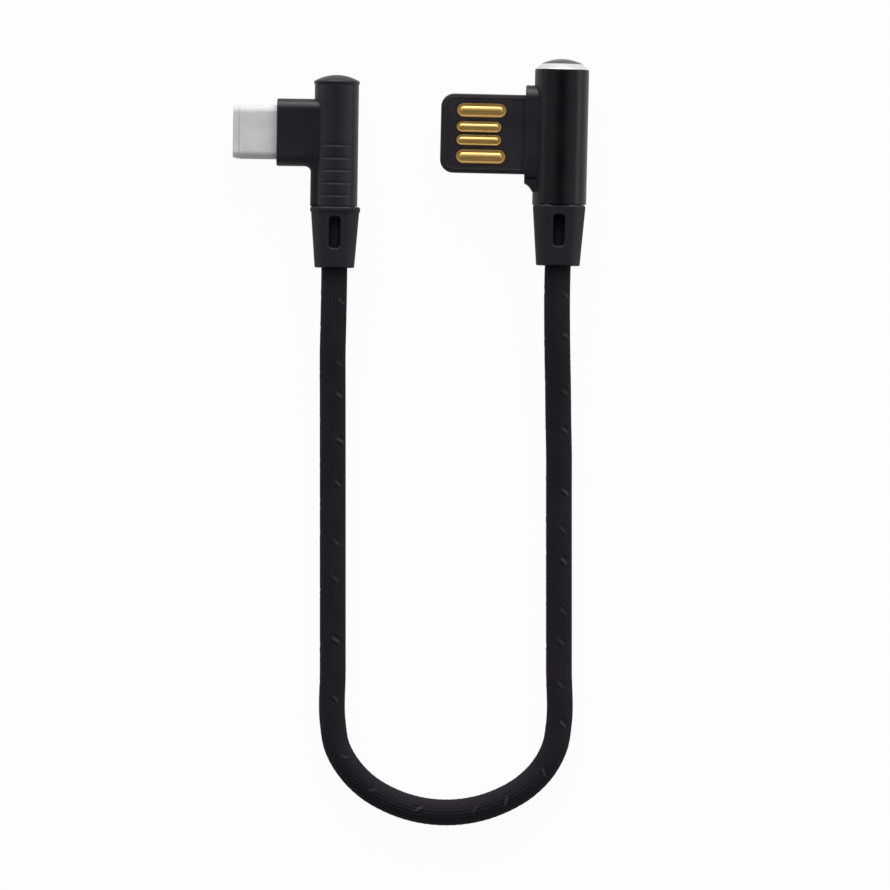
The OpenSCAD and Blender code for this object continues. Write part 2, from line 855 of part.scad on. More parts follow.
module device_board_shape(grow = 0) {
    block_xz(
        -device_shell_root + fit - grow, device_board_reach + grow,
        device_board_foot - grow, device_mid + device_board_half + grow,
        device_board_t + 2 * grow
    );
}

module device_circuit_board() {
    color("#1f5a3a") device_board_shape();
}

module device_resistor_shape(grow = 0) {
    translate([
        -resistor_out - resistor_len / 2 - grow,
        -device_board_t / 2 - resistor_h - grow,
        device_mid + resistor_up - resistor_w / 2 - grow
    ])
        cube([
            resistor_len + 2 * grow, resistor_h + grow, resistor_w + 2 * grow
        ]);
}

module device_resistor() {
    color("#2b2b2e") device_resistor_shape();
}

module device_wire(side, face) {
    wire(side, face, device_board_t, device_cord_stop, device_wire_stop);
}

module device_wire_power() {
    color("#b3202a") device_wire(1, -1);
}

module device_wire_ground() {
    color("#1a1a1c") device_wire(-1, -1);
}

module device_wire_data_minus() {
    color("#e6e6e2") device_wire(1, 1);
}

module device_wire_data_plus() {
    color("#2c8a4a") device_wire(-1, 1);
}

module device_conductors() {
    color("#b87346") bare_strands(device_board_t, device_wire_stop);
}

// Solder heels at the ends of the contacts, both faces
module device_tail_joints(grow = 0) {
    x = -device_shell_root + tail_lap + heel_r / 2;
    for (place = device_front_places)
        translate([x, -device_board_t / 2, device_mid + place_z(place)])
            rotate([90, 0, 0]) half_ball(heel_r, grow);
    for (place = device_back_places)
        translate([x, device_board_t / 2, device_mid + place_z(place)])
            rotate([-90, 0, 0]) half_ball(heel_r, grow);
}

// Room for the contacts' ends over the board, both faces
module device_tail_room(grow) {
    for (place = device_back_places)
        translate([0, 0, device_mid + place_z(place)]) device_contact_run(grow);
    for (place = device_front_places)
        translate([0, 0, device_mid + place_z(place)])
            mirror([0, 1, 0]) device_contact_run(grow);
}

module device_solder() {
    color("#b9bbbf") difference() {
        union() {
            wire_joints(device_board_t, device_wire_stop);
            device_tail_joints();
        }
        bare_strands(device_board_t, device_wire_stop, snug);
        device_tail_room(snug);
    }
}

// Block of the inner mould: the connector's part and the wires' part
module device_fill(grow = 0) {
    block_xz(
        -device_shell_root, device_fill_reach + grow,
        device_board_foot - fill_cover - grow,
        device_mid + device_board_half + fill_cover + grow,
        device_fill_t + 2 * grow
    );
    block_xz(
        -device_fill_reach - grow, device_fill_reach + grow,
        device_cord_stop, device_board_foot,
        device_fill_t + 2 * grow
    );
}

module device_inner_mould() {
    color("#d8d6cf") difference() {
        device_fill();
        device_board_shape(snug);
        device_resistor_shape(snug);
        for (side = [-1, 1], face = [-1, 1])
            wire(side, face, device_board_t, device_cord_stop - over,
                device_wire_stop + snug, snug);
        bare_strands(device_board_t, device_wire_stop, snug);
        wire_joints(device_board_t, device_wire_stop, snug);
        device_tail_joints(snug);
        device_tail_room(snug);
    }
}

// Strip that closes the sleeve's slot below the block, with its fillet,
// both carried up past the block's round corners
module device_strip() {
    block_foot = device_mid - device_block_h / 2;
    intersection() {
        translate([0, 0, device_relief_len])
            linear_extrude(block_foot - device_relief_len + device_block_round)
                translate([-device_strip_reach / 2, 0])
                    rounded_rect(device_strip_reach, device_strip_t,
                        device_strip_round);
        left_of(device_web_edge, device_block_reach, device_top);
    }
    difference() {
        block_xz(
            -device_strip_reach - device_fillet, -device_web_edge,
            block_foot - device_fillet, block_foot + device_block_round,
            device_strip_t - 2 * device_strip_round
        );
        translate([-device_strip_reach - device_fillet, 0, block_foot - device_fillet])
            rotate([90, 0, 0])
                cylinder(h = device_block_t, r = device_fillet, center = true);
    }
}

module device_overmould() {
    color("#211e22") difference() {
        union() {
            translate([0, 0, device_relief_len])
                cylinder(h = device_top - device_relief_len, r = device_core_r);
            intersection() {
                translate([0, 0, device_relief_len])
                    cylinder(h = device_top - device_relief_len, d = device_sleeve_d);
                left_of(device_web_edge, device_sleeve_d, device_top);
            }
            device_strip();
            translate([0, 0, device_mid]) nosed_bar_x(
                -device_block_reach, -device_web_edge,
                device_block_h, device_block_t, device_block_round, edge
            );
        }
        translate([0, 0, device_mid]) bar_x(
            -device_block_reach - over, -device_shell_root,
            device_shell_w + 2 * fit, device_shell_t + 2 * fit,
            device_shell_t / 2
        );
        device_fill(fit);
        cylinder(h = device_cord_stop, d = cord_d + 2 * fit);
        translate([0, 0, device_top - device_peg_len - fit])
            cylinder(h = device_peg_len + over, d = device_peg_d + 2 * fit);
    }
}

// Grip grooves, front and back, seen from the sleeve's foot
module grip_grooves() {
    r = device_sleeve_d / 2;
    for (i = [0 : groove_count - 1])
        translate([0, 0, groove_first + i * groove_pitch]) intersection() {
            rotate_extrude() translate([r - groove_depth, -groove_w / 2])
                square([groove_depth + over, groove_w]);
            cube([groove_len, 4 * r, 4 * groove_w], center = true);
        }
}

module device_sleeve() {
    color("#28262b") translate([0, 0, device_foot]) difference() {
        slotted_sleeve(
            device_sleeve_d, device_sleeve_len, device_sleeve_wall,
            device_slot_edge
        );
        grip_grooves();
    }
}

module device_end_cap() {
    color("#2f2d31") translate([0, 0, device_top]) {
        rotate_extrude() polygon([
            [0, 0], [device_cap_d / 2 - edge, 0], [device_cap_d / 2, edge],
            [device_cap_d / 2, device_cap_rim - edge],
            [device_cap_d / 2 - edge, device_cap_rim], [0, device_cap_rim]
        ]);
        translate([0, 0, device_cap_rim])
            dome(device_cap_d / 2 - 2 * edge, device_dome_h);
        translate([0, 0, -device_peg_len])
            cylinder(h = device_peg_len, d = device_peg_d);
    }
}

module device_strain_relief() {
    lip_foot = device_relief_len - device_lip_h;
    color("#2c292d") difference() {
        union() {
            tapered_body(
                device_relief_len,
                device_relief_end_w, device_relief_top_w - 2 * device_lip_out,
                device_relief_end_t, device_relief_top_t - 2 * device_lip_out,
                device_panel_end_w, device_panel_top_w
            );
            intersection() {
                block_xz(
                    -device_relief_top_w / 2, device_relief_top_w / 2,
                    lip_foot, device_relief_len, device_relief_top_t
                );
                translate([0, 0, lip_foot]) cylinder(
                    h = device_lip_h,
                    r = norm([device_panel_top_w, device_relief_top_t]) / 2
                );
            }
        }
        relief_cuts(device_relief_len, device_relief_top_t);
    }
}

module device_cord_end() {
    color("#1d1a1f") cylinder(h = device_cord_stop, d = cord_d);
}

// ---------- cord ----------

// Direction of the route at point i, of unit length
function heading(i) =
    let (
        a = route[max(i - 1, 0)],
        b = route[min(i + 1, len(route) - 1)]
    ) (b - a) / norm(b - a);

// One ring of the tube round point i, square to the route there
function ring(i) =
    let (
        t = heading(i),
        side = [-t.y, t.x, 0] / norm([t.x, t.y]),
        up = cross(t, side)
    )
    [for (k = [0 : cord_sides - 1])
        let (angle = 360 * k / cord_sides)
        route[i] + cord_d / 2 * (cos(angle) * up + sin(angle) * side)];

module cord() {
    n = len(route);
    points = [for (i = [0 : n - 1]) each ring(i)];
    walls = [
        for (i = [0 : n - 2], k = [0 : cord_sides - 1])
            let (
                a = i * cord_sides + k,
                b = i * cord_sides + (k + 1) % cord_sides
            )
            each [
                [a, a + cord_sides, b + cord_sides],
                [a, b + cord_sides, b]
            ]
    ];
    first = [for (k = [0 : cord_sides - 1]) k];
    last = [for (k = [cord_sides - 1 : -1 : 0]) (n - 1) * cord_sides + k];
    color("#1d1a1f") polyhedron(points, concat([first], walls, [last]));
}

// ---------- placing ----------

// Lays a plug down at p, in line with the cord that comes from q
module lay_plug(p, q) {
    lean = -atan2(p.x - q.x, p.y - q.y);
    translate(p) rotate([-90, 0, lean]) children();
}

module at_host() {
    lay_plug(route[0], route[1]) children();
}

module at_device() {
    lay_plug(route[len(route) - 1], route[len(route) - 2]) children();
}

at_host() host_sleeve();
at_host() host_trim_ring();
at_host() host_end_cap();
at_host() host_overmould();
at_host() host_inner_mould();
at_host() host_strain_relief();
at_host() host_tongue();
at_host() host_contacts_front();
at_host() host_contacts_back();
at_host() host_circuit_board();
at_host() host_wire_power();
at_host() host_wire_ground();
at_host() host_wire_data_minus();
at_host() host_wire_data_plus();
at_host() host_conductors();
at_host() host_solder();
at_host() host_cord_end();
at_device() device_shell();
at_device() device_insulator();
at_device() device_contacts_front();
at_device() device_contacts_back();
at_device() device_latch();
at_device() device_circuit_board();
at_device() device_resistor();
at_device() device_wire_power();
at_device() device_wire_ground();
at_device() device_wire_data_minus();
at_device() device_wire_data_plus();
at_device() device_conductors();
at_device() device_solder();
at_device() device_inner_mould();
at_device() device_overmould();
at_device() device_sleeve();
at_device() device_end_cap();
at_device() device_strain_relief();
at_device() device_cord_end();
cord();
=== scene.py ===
"""Looks of a short charging cable: a woven cord with a right-angle plug at each end.

Lengths in the tables below are in millimetres. Objects are made in metres, in the cable's own frame: the
cable lies on a floor at z = 0, x runs from the device plug to the charger plug, and y runs from the cord
towards the plugs' end caps. Each plug also has a frame of its own, in millimetres: the cord leaves it
downwards at the origin, z runs up its barrel, the connector points to -x, and its front, -y, faces up from
the floor.
"""

import json
import math

import bmesh
import bpy
import numpy as np
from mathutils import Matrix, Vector, geometry


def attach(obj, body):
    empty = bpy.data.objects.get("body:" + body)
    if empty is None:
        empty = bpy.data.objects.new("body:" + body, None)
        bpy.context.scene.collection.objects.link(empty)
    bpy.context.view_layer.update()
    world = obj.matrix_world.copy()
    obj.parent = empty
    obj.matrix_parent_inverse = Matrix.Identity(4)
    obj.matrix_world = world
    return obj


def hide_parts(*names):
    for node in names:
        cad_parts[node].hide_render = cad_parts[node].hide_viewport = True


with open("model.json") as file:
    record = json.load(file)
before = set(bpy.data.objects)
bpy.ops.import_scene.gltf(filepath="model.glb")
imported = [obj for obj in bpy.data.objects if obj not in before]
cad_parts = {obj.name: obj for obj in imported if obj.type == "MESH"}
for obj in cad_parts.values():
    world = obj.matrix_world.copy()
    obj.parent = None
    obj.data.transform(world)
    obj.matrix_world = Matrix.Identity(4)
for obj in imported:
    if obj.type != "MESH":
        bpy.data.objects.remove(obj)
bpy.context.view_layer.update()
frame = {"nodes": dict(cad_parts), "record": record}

MM = 0.001
# Points nearer than this, in metres, are one point
WELD = 2e-7

# ---------- sizes ----------

# Cord: its thickness, the ribs round it, and the length of one yarn loop
CORD_D = 4.0
RIBS = 24
STITCH_LEN = 1.0
# The jacket's base below the cord's radius, and how high its ribs and the loops on them stand
JACKET_BASE = 0.11
RIB_RISE = 0.075
LOOP_RISE = 0.03
# Distance between two rings of its points, in metres
RING_STEP = 0.215 * MM
# Heights of the axes of the charger plug, the device plug and the cord where it lies on the floor
HOST_AXIS_Z = 4.1
DEVICE_AXIS_Z = 3.5
LIE = CORD_D / 2

# The cord's route, from the charger plug to the device plug
ROUTE = MM * np.array([
    [22.0, -15.6, HOST_AXIS_Z], [21.9, -20, HOST_AXIS_Z],
    [21.9, -24.5, 4.0], [21.95, -29, 3.7], [22.05, -34, 3.2],
    [22.1, -39, 2.7], [22.2, -44, 2.3], [22.2, -50, LIE],
    [22.2, -59, LIE], [22.2, -68, LIE], [22.2, -77, LIE],
    [22.2, -84.9, LIE], [21.6, -88.4, LIE], [19.9, -91.7, LIE],
    [17.2, -94.5, LIE], [13.7, -96.6, LIE], [9.6, -98, LIE],
    [5.1, -98.5, LIE], [0.6, -98, LIE], [-3.5, -96.6, LIE],
    [-7, -94.5, LIE], [-9.7, -91.7, LIE], [-11.5, -88.4, LIE],
    [-12.1, -84.9, LIE], [-12.1, -77, LIE], [-12.1, -68, LIE],
    [-12.1, -59, LIE], [-12.1, -50, LIE], [-12.1, -44, 2.2],
    [-12.1, -39, 2.5], [-12.1, -34, 2.9], [-12.1, -29, 3.3],
    [-12.0, -24.5, 3.5], [-11.92, -20.7, DEVICE_AXIS_Z],
    [-11.85, -15.9, DEVICE_AXIS_Z],
])


# ---------- plug frames ----------

class Plug:
    """Where a plug lies: its origin in metres and, as rows, the directions of its own x, y and z."""

    def __init__(self, end, inner):
        along = (end - inner) * (1, 1, 0)
        along = along / np.linalg.norm(along)
        self.origin = end
        self.axes = np.array([[along[1], -along[0], 0], [0, 0, -1], along])

    def lay(self, points):
        """Points of the plug's frame, in millimetres, laid in the cable's frame, in metres."""
        return self.origin + MM * np.asarray(points, float) @ self.axes

    def span(self, node):
        """Lowest and highest corner of a CAD node in the plug's frame, in millimetres."""
        mesh = frame["nodes"][node].data
        place = np.empty(3 * len(mesh.vertices), np.float32)
        mesh.vertices.foreach_get("co", place)
        local = (place.reshape(-1, 3) - self.origin) @ self.axes.T / MM
        return local.min(0), local.max(0)


HOST = Plug(ROUTE[0], ROUTE[1])
DEVICE = Plug(ROUTE[-1], ROUTE[-2])


# ---------- mesh tools ----------

def quads(rows, cols, wrap=False):
    """Corner numbers of the quads of a grid whose points are numbered row by row; wrap joins its last column
    to its first."""
    index = np.arange(rows * cols).reshape(rows, cols)
    if wrap:
        index = np.hstack([index, index[:, :1]])
    corners = [index[:-1, :-1], index[:-1, 1:], index[1:, 1:], index[1:, :-1]]
    return np.stack(corners, -1).reshape(-1, 4)


def new_mesh(name, points, faces):
    """A smooth-shaded mesh object from points in metres and a list or array of faces."""
    mesh = bpy.data.meshes.new(name)
    mesh.from_pydata(points, [], [list(face) for face in faces])
    mesh.polygons.foreach_set("use_smooth", np.ones(len(mesh.polygons), bool))
    piece = bpy.data.objects.new(name, mesh)
    bpy.context.scene.collection.objects.link(piece)
    return piece


def shade(mesh, crease):
    """Gives each face corner the mean normal of the faces round its point, weighed by their areas, over
    those that turn from the corner's own face by less than the crease angle."""
    vert = np.empty(len(mesh.loops), np.int32)
    mesh.loops.foreach_get("vertex_index", vert)
    total = np.empty(len(mesh.polygons), np.int32)
    mesh.polygons.foreach_get("loop_total", total)
    normal = np.empty(3 * len(mesh.polygons), np.float32)
    mesh.polygons.foreach_get("normal", normal)
    area = np.empty(len(mesh.polygons), np.float32)
    mesh.polygons.foreach_get("area", area)
    face = np.repeat(np.arange(len(total)), total)
    order = np.argsort(vert, kind="stable")
    vert = vert[order]
    own = normal.reshape(-1, 3)[face[order]].astype(float)
    share = own * area[face[order]][:, None]
    mean = share.copy()
    gap = 1
    while (vert[gap:] == vert[:-gap]).any():
        level = (own[gap:] * own[:-gap]).sum(1) > math.cos(math.radians(crease))
        near = (vert[gap:] == vert[:-gap]) & level
        mean[gap:][near] += share[:-gap][near]
        mean[:-gap][near] += share[gap:][near]
        gap += 1
    corner = np.empty_like(mean)
    corner[order] = mean / np.maximum(np.linalg.norm(mean, axis=1), 1e-20)[:, None]
    mesh.normals_split_custom_set(corner.tolist())


def finish_piece(piece, slot, node, crease=40, look=None):
    """Welds a piece's seams, turns its faces outwards, shades it, gives it its slot's material, or a look of
    its own, and ties it to the frame in the place of a CAD node."""
    mesh = piece.data
    work = bmesh.new()
    work.from_mesh(mesh)
    bmesh.ops.remove_doubles(work, verts=work.verts, dist=WELD)
    bmesh.ops.recalc_face_normals(work, faces=work.faces)
    work.to_mesh(mesh)
    work.free()
    mesh.polygons.foreach_set("use_smooth", np.ones(len(mesh.polygons), bool))
    if crease:
        shade(mesh, crease)
    mesh.materials.append(MATERIALS[look or slot])
    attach(piece, "root")
    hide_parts(node)


# ---------- material tools ----------

def linear(colour):
    """Linear RGBA of an sRGB hex colour: a share of 1/12.92 up to 0.04045, and a power of 2.4 above it."""
    srgb = np.array([int(colour[i:i + 2], 16) for i in (1, 3, 5)]) / 255
    rgb = np.where(srgb <= 0.04045, srgb / 12.92, ((srgb + 0.055) / 1.055) ** 2.4)
    return (*rgb, 1.0)


def add(tree, kind, inputs=None, **settings):
    """Adds one node with its settings and its inputs, each a value or the socket that is linked to it."""
    node = tree.nodes.new(kind)
    for name, value in settings.items():
        setattr(node, name, value)
    for name, value in (inputs or {}).items():
        if isinstance(value, bpy.types.NodeSocket):
            tree.links.new(value, node.inputs[name])
        else:
            node.inputs[name].default_value = value
    return node


def new_material(name):
    """A material and its node tree, which is empty."""
    material = bpy.data.materials.new(name)
    material.use_nodes = True
    material.node_tree.nodes.clear()
    return material, material.node_tree


def surface(tree, colour, roughness, height, depth_mm, **constants):
    """Ends a material with one Principled shader. Its grain is a height between 0 and 1 that raises it by
    depth_mm, and its constants stand on the shader's own sockets."""
    raised = add(tree, "ShaderNodeBump", {"Height": height, "Strength": 1.0, "Distance": depth_mm * MM})
    inputs = {key.replace("_", " "): value for key, value in constants.items()}
    inputs.update({"Base Color": colour, "Roughness": roughness, "Normal": raised.outputs["Normal"]})
    shader = add(tree, "ShaderNodeBsdfPrincipled", inputs)
    add(tree, "ShaderNodeOutputMaterial", {"Surface": shader.outputs["BSDF"]})


def per_metre(size_mm):
    """Texture scale, in repeats a metre, of a pattern whose grain is size_mm wide."""
    return 1 / (size_mm * MM)


def grain(tree, size_mm, stretch=(1, 1, 1), detail=2.0):
    """Noise on Object coordinates whose lumps are size_mm wide, divided along each axis by stretch."""
    place = add(tree, "ShaderNodeTexCoord").outputs["Object"]
    scaled = add(tree, "ShaderNodeMapping", {"Vector": place, "Scale": [1 / s for s in stretch]})
    inputs = {
        "Vector": scaled.outputs["Vector"], "Scale": per_metre(size_mm), "Detail": detail, "Roughness": 0.6,
    }
    return add(tree, "ShaderNodeTexNoise", inputs).outputs["Fac"]


def spread(noise, low, high):
    """Inputs of a Map Range node that runs from low to high as a noise runs over its middle range."""
    return {"Value": noise, "From Min": 0.3, "From Max": 0.7, "To Min": low, "To Max": high}


def blend(tree, noise, first, second):
    """A colour between two sRGB hex colours, mixed by a noise's middle range."""
    share = add(tree, "ShaderNodeMapRange", spread(noise, 0.0, 1.0)).outputs["Result"]
    inputs = {"Factor": share, "A": linear(first), "B": linear(second)}
    return add(tree, "ShaderNodeMix", inputs, data_type="RGBA").outputs["Result"]


# ---------- materials ----------

def moulded(name, colours, roughness, specular, grain_mm=0.18, depth_mm=0.004, tint="#ffffff"):
    """Moulded plastic or rubber, lacquer or anodised metal: a fine grain that softens the gloss, and faint
    patches of colour and gloss a few millimetres wide. A tint colours its reflections."""
    material, tree = new_material(name)
    patches = grain(tree, 3.5, detail=1.0)
    gloss = add(tree, "ShaderNodeMapRange", spread(patches, roughness - 0.04, roughness + 0.04))
    surface(
        tree, blend(tree, patches, *colours), gloss.outputs["Result"], grain(tree, grain_mm, detail=3.0),
        depth_mm, Specular_IOR_Level=specular, Specular_Tint=linear(tint),
    )
    return material


def metal(name, colours, roughness, grain_mm, stretch, depth_mm):
    """Plated or polished metal: fine lines or grain from its finishing, and a slightly uneven gloss."""
    material, tree = new_material(name)
    lines = grain(tree, grain_mm, stretch=stretch, detail=4.0)
    gloss = add(tree, "ShaderNodeMapRange", spread(lines, roughness - 0.05, roughness + 0.05))
    colour = blend(tree, grain(tree, 2.5), *colours)
    surface(tree, colour, gloss.outputs["Result"], lines, depth_mm, Metallic=1.0)
    return material


# Filaments of about 0.1 mm: on a UV map in millimetres this draws a slanting line every 0.1 mm of the cord.
# Real ones are finer, too fine to show
FILAMENT_SCALE = 0.7 / 0.11


def woven_nylon():
    """Black nylon yarn woven round the cord: dull, with fine slanting lines where its filaments lie. The
    floats of a tracer yarn are painted paler, a painted highlight on their crests, and the hollows beside
    them are painted near black, a painted shade."""
    material, tree = new_material("woven_nylon")
    inputs = {
        "Vector": add(tree, "ShaderNodeUVMap", uv_map="weave").outputs["UV"],
        "Scale": FILAMENT_SCALE, "Distortion": 1.2, "Detail": 2.0, "Detail Scale": 2.0,
    }
    lines = add(tree, "ShaderNodeTexWave", inputs, wave_type="BANDS", bands_direction="DIAGONAL")
    float_highlight_and_shade = add(tree, "ShaderNodeAttribute", attribute_name="float_highlight_and_shade").outputs["Fac"]
    # Painted light: above zero a float's crest turns paler, a painted highlight; below zero the hollows
    # beside it turn near black, a painted shade
    painted_hollow_shade = add(tree, "ShaderNodeMath", {0: float_highlight_and_shade, 1: -1.0}, operation="MULTIPLY").outputs[0]
    colour = blend(tree, grain(tree, 6.0), "#17131a", "#1d1821")
    for share, painted_tone in ((float_highlight_and_shade, "#433f48"), (painted_hollow_shade, "#050405")):
        inputs = {"Factor": share, "A": colour, "B": linear(painted_tone)}
        colour = add(tree, "ShaderNodeMix", inputs, data_type="RGBA").outputs["Result"]
    surface(tree, colour, 0.75, lines.outputs["Fac"], 0.012, Specular_IOR_Level=0.16)
    return material


MATERIALS = {
    # Turned, blasted and anodised: deep black with a soft broad sheen
    "black_anodised": moulded(
        "black_anodised_aluminium", ("#060408", "#09070b"), 0.25, 0.32, 0.1, 0.002, tint="#fdf5ff"
    ),
    # Turned and polished: nearly white, a little blurred
    "bright_ring": metal("polished_aluminium", ("#f4f4f6", "#fafafc"), 0.22, 0.08, (1, 1, 1), 0.0005),
    # Lacquered: dark grey and glossy, with almost no grain
    "cap_black": moulded("black_lacquer", ("#201f22", "#29282b"), 0.22, 0.5, 0.2, 0.001),
    # From a finely eroded mould: satin black
    "black_mould": moulded("black_abs", ("#110c14", "#161119"), 0.42, 0.36),
    # Filled plastic: the same gloss, a little paler
    "tongue_black": moulded("black_polyamide", ("#18131b", "#1e1820"), 0.45, 0.38),
    # Soft rubber: dull, with a deeper grain
    "relief_black": moulded("black_elastomer", ("#151219", "#1a161e"), 0.58, 0.3, 0.22, 0.006),
    # Dyed clear plastic: an even satin black
    "black_sleeve_plastic": moulded("black_polycarbonate", ("#130f17", "#18141c"), 0.4, 0.36),
    # Stamped and plated: warm gold, its gloss drawn out along each contact
    "gold_contact": metal("gold_plate", ("#d0a864", "#dab471"), 0.38, 0.05, (8, 1, 1), 0.0003),
    # Drawn, blasted and plated: pale and matt, with faint lines along the shell
    "steel_shell": metal("nickel_plated_steel", ("#d9d7d9", "#e1dfe1"), 0.9, 0.06, (10, 1, 1), 0.001),
    # Rolled and stamped: glossy grey with lines along the strip
    "latch_steel": metal("spring_steel", ("#a19f9c", "#adaaa7"), 0.3, 0.06, (10, 1, 1), 0.001),
    # Glass fibre in the moulding: dull black
    "insulator_black": moulded("glass_filled_nylon", ("#151416", "#1b1a1c"), 0.5, 0.3),
    # Cured lacquer: glossy green
    "board_green": moulded("solder_mask", ("#1b5a38", "#226642"), 0.3, 0.5),
    # Fired glaze: glossy grey-black
    "chip_black": moulded("chip_glaze", ("#232326", "#2b2b2e"), 0.3, 0.5),
    # Extruded jackets: clear colours, softly glossy
    "wire_red": moulded("red_wire_jacket", ("#a81c26", "#b8242e"), 0.4, 0.5),
    "wire_black": moulded("black_wire_jacket", ("#161618", "#1e1e20"), 0.4, 0.5),
    "wire_white": moulded("white_wire_jacket", ("#dededa", "#ecece8"), 0.4, 0.5),
    "wire_green": moulded("green_wire_jacket", ("#258043", "#2f9050"), 0.4, 0.5),
    # Drawn strands: reddish, with lines along the wire
    "copper": metal("tinned_copper", ("#b06a3c", "#c27c4c"), 0.3, 0.1, (1, 6, 1), 0.003),
    # Melted and set: bright, with soft lumps
    "solder": metal("solder_tin", ("#b4b6ba", "#c4c6ca"), 0.28, 0.3, (1, 1, 1), 0.004),
    # No pigment: a waxy off-white
    "natural_mould": moulded("natural_polyethylene", ("#d2d0c8", "#dedcd4"), 0.5, 0.4),
    "woven_cord": woven_nylon(),
}

for part in frame["record"]["subparts"]:
    node = frame["nodes"][part["node"]]
    for holder in node.material_slots:
        holder.material = MATERIALS[part["material_slot"]]


# ---------- cord ----------

def smooth_line(points, step):
    """Points an even step apart on a smooth curve through the given ones: between two of them a cubic runs,
    whose direction at each is the slope of the parabola through it and its neighbours. It is kept from
    dipping below the lowest of them."""
    chord = np.linalg.norm(np.diff(points, axis=0), axis=1)
    at = np.concatenate([[0], np.cumsum(chord)])
    slope = np.gradient(points, at, axis=0, edge_order=2)
    fine = np.linspace(0, at[-1], 4000)
    i = np.clip(np.searchsorted(at, fine, side="right") - 1, 0, len(chord) - 1)
    h = chord[i][:, None]
    t = ((fine - at[i]) / chord[i])[:, None]
    curve = (
        (1 + 2 * t) * (1 - t) ** 2 * points[i] + t * (1 - t) ** 2 * h * slope[i]
        + t ** 2 * (3 - 2 * t) * points[i + 1] + t ** 2 * (t - 1) * h * slope[i + 1]
    )
    curve[:, 2] = np.maximum(curve[:, 2], points[:, 2].min())
    length = np.concatenate([[0], np.cumsum(np.linalg.norm(np.diff(curve, axis=0), axis=1))])
    even = np.linspace(0, length[-1], int(round(length[-1] / step)) + 1)
    return np.stack([np.interp(even, length, curve[:, k]) for k in range(3)], 1), even


# A float of the tracer yarn: half its length, and the half widths of its ridge and of the hollows beside it
FLOAT_HALF = 0.85
RIDGE_WIDE = 0.25
HOLLOW_WIDE = 0.24
# How far each hollow's middle is from the ridge's, and how high the ridge and how deep the hollows are
HOLLOW_AWAY = 0.52
RIDGE_HIGH = 0.06
HOLLOW_DEEP = 0.08


def tracer_field(s, angle, length, seed=7):
    """The painted light of the tracer yarn at each place, from -1, a painted shade in a hollow, to 1, a
    painted highlight on the yarn, and the height that it adds. It comes up for a short float at uneven steps
    along three rows, which drift slowly round the cord, and each float is a ridge of Gaussian section with a
    hollow on either side."""
    random = np.random.default_rng(seed)
    painted_highlight_and_shade = np.zeros(np.broadcast(s, angle).shape)
    height = np.zeros_like(painted_highlight_and_shade)
    radius = CORD_D / 2
    for row in range(3):
        s_float = random.uniform(2, 6)
        while s_float < length - 1.5:
            middle = math.radians(42 - 84 * s_float / length + 120 * row + random.uniform(-9, 9))
            slant = math.radians(random.uniform(28, 50))
            strength = random.uniform(0.4, 1.0)
            around = radius * (np.mod(angle - middle + math.pi, 2 * math.pi) - math.pi)
            along = s - s_float
            lengthwise = around * math.cos(slant) + along * math.sin(slant)
            across = along * math.cos(slant) - around * math.sin(slant)
            window = strength * np.clip(1 - (lengthwise / FLOAT_HALF) ** 2, 0, 1)
            ridge = np.exp(-(across / RIDGE_WIDE) ** 2)
            hollow = np.exp(-((np.abs(across) - HOLLOW_AWAY) / HOLLOW_WIDE) ** 2)
            # Painted highlight along each float's ridge, and painted shade in the hollows beside it
            painted_highlight_and_shade = painted_highlight_and_shade + window * (ridge - 0.8 * hollow)
            height = height + window * (RIDGE_HIGH * ridge - HOLLOW_DEEP * hollow)
            s_float += random.uniform(4.6, 9.5)
    return painted_highlight_and_shade, height


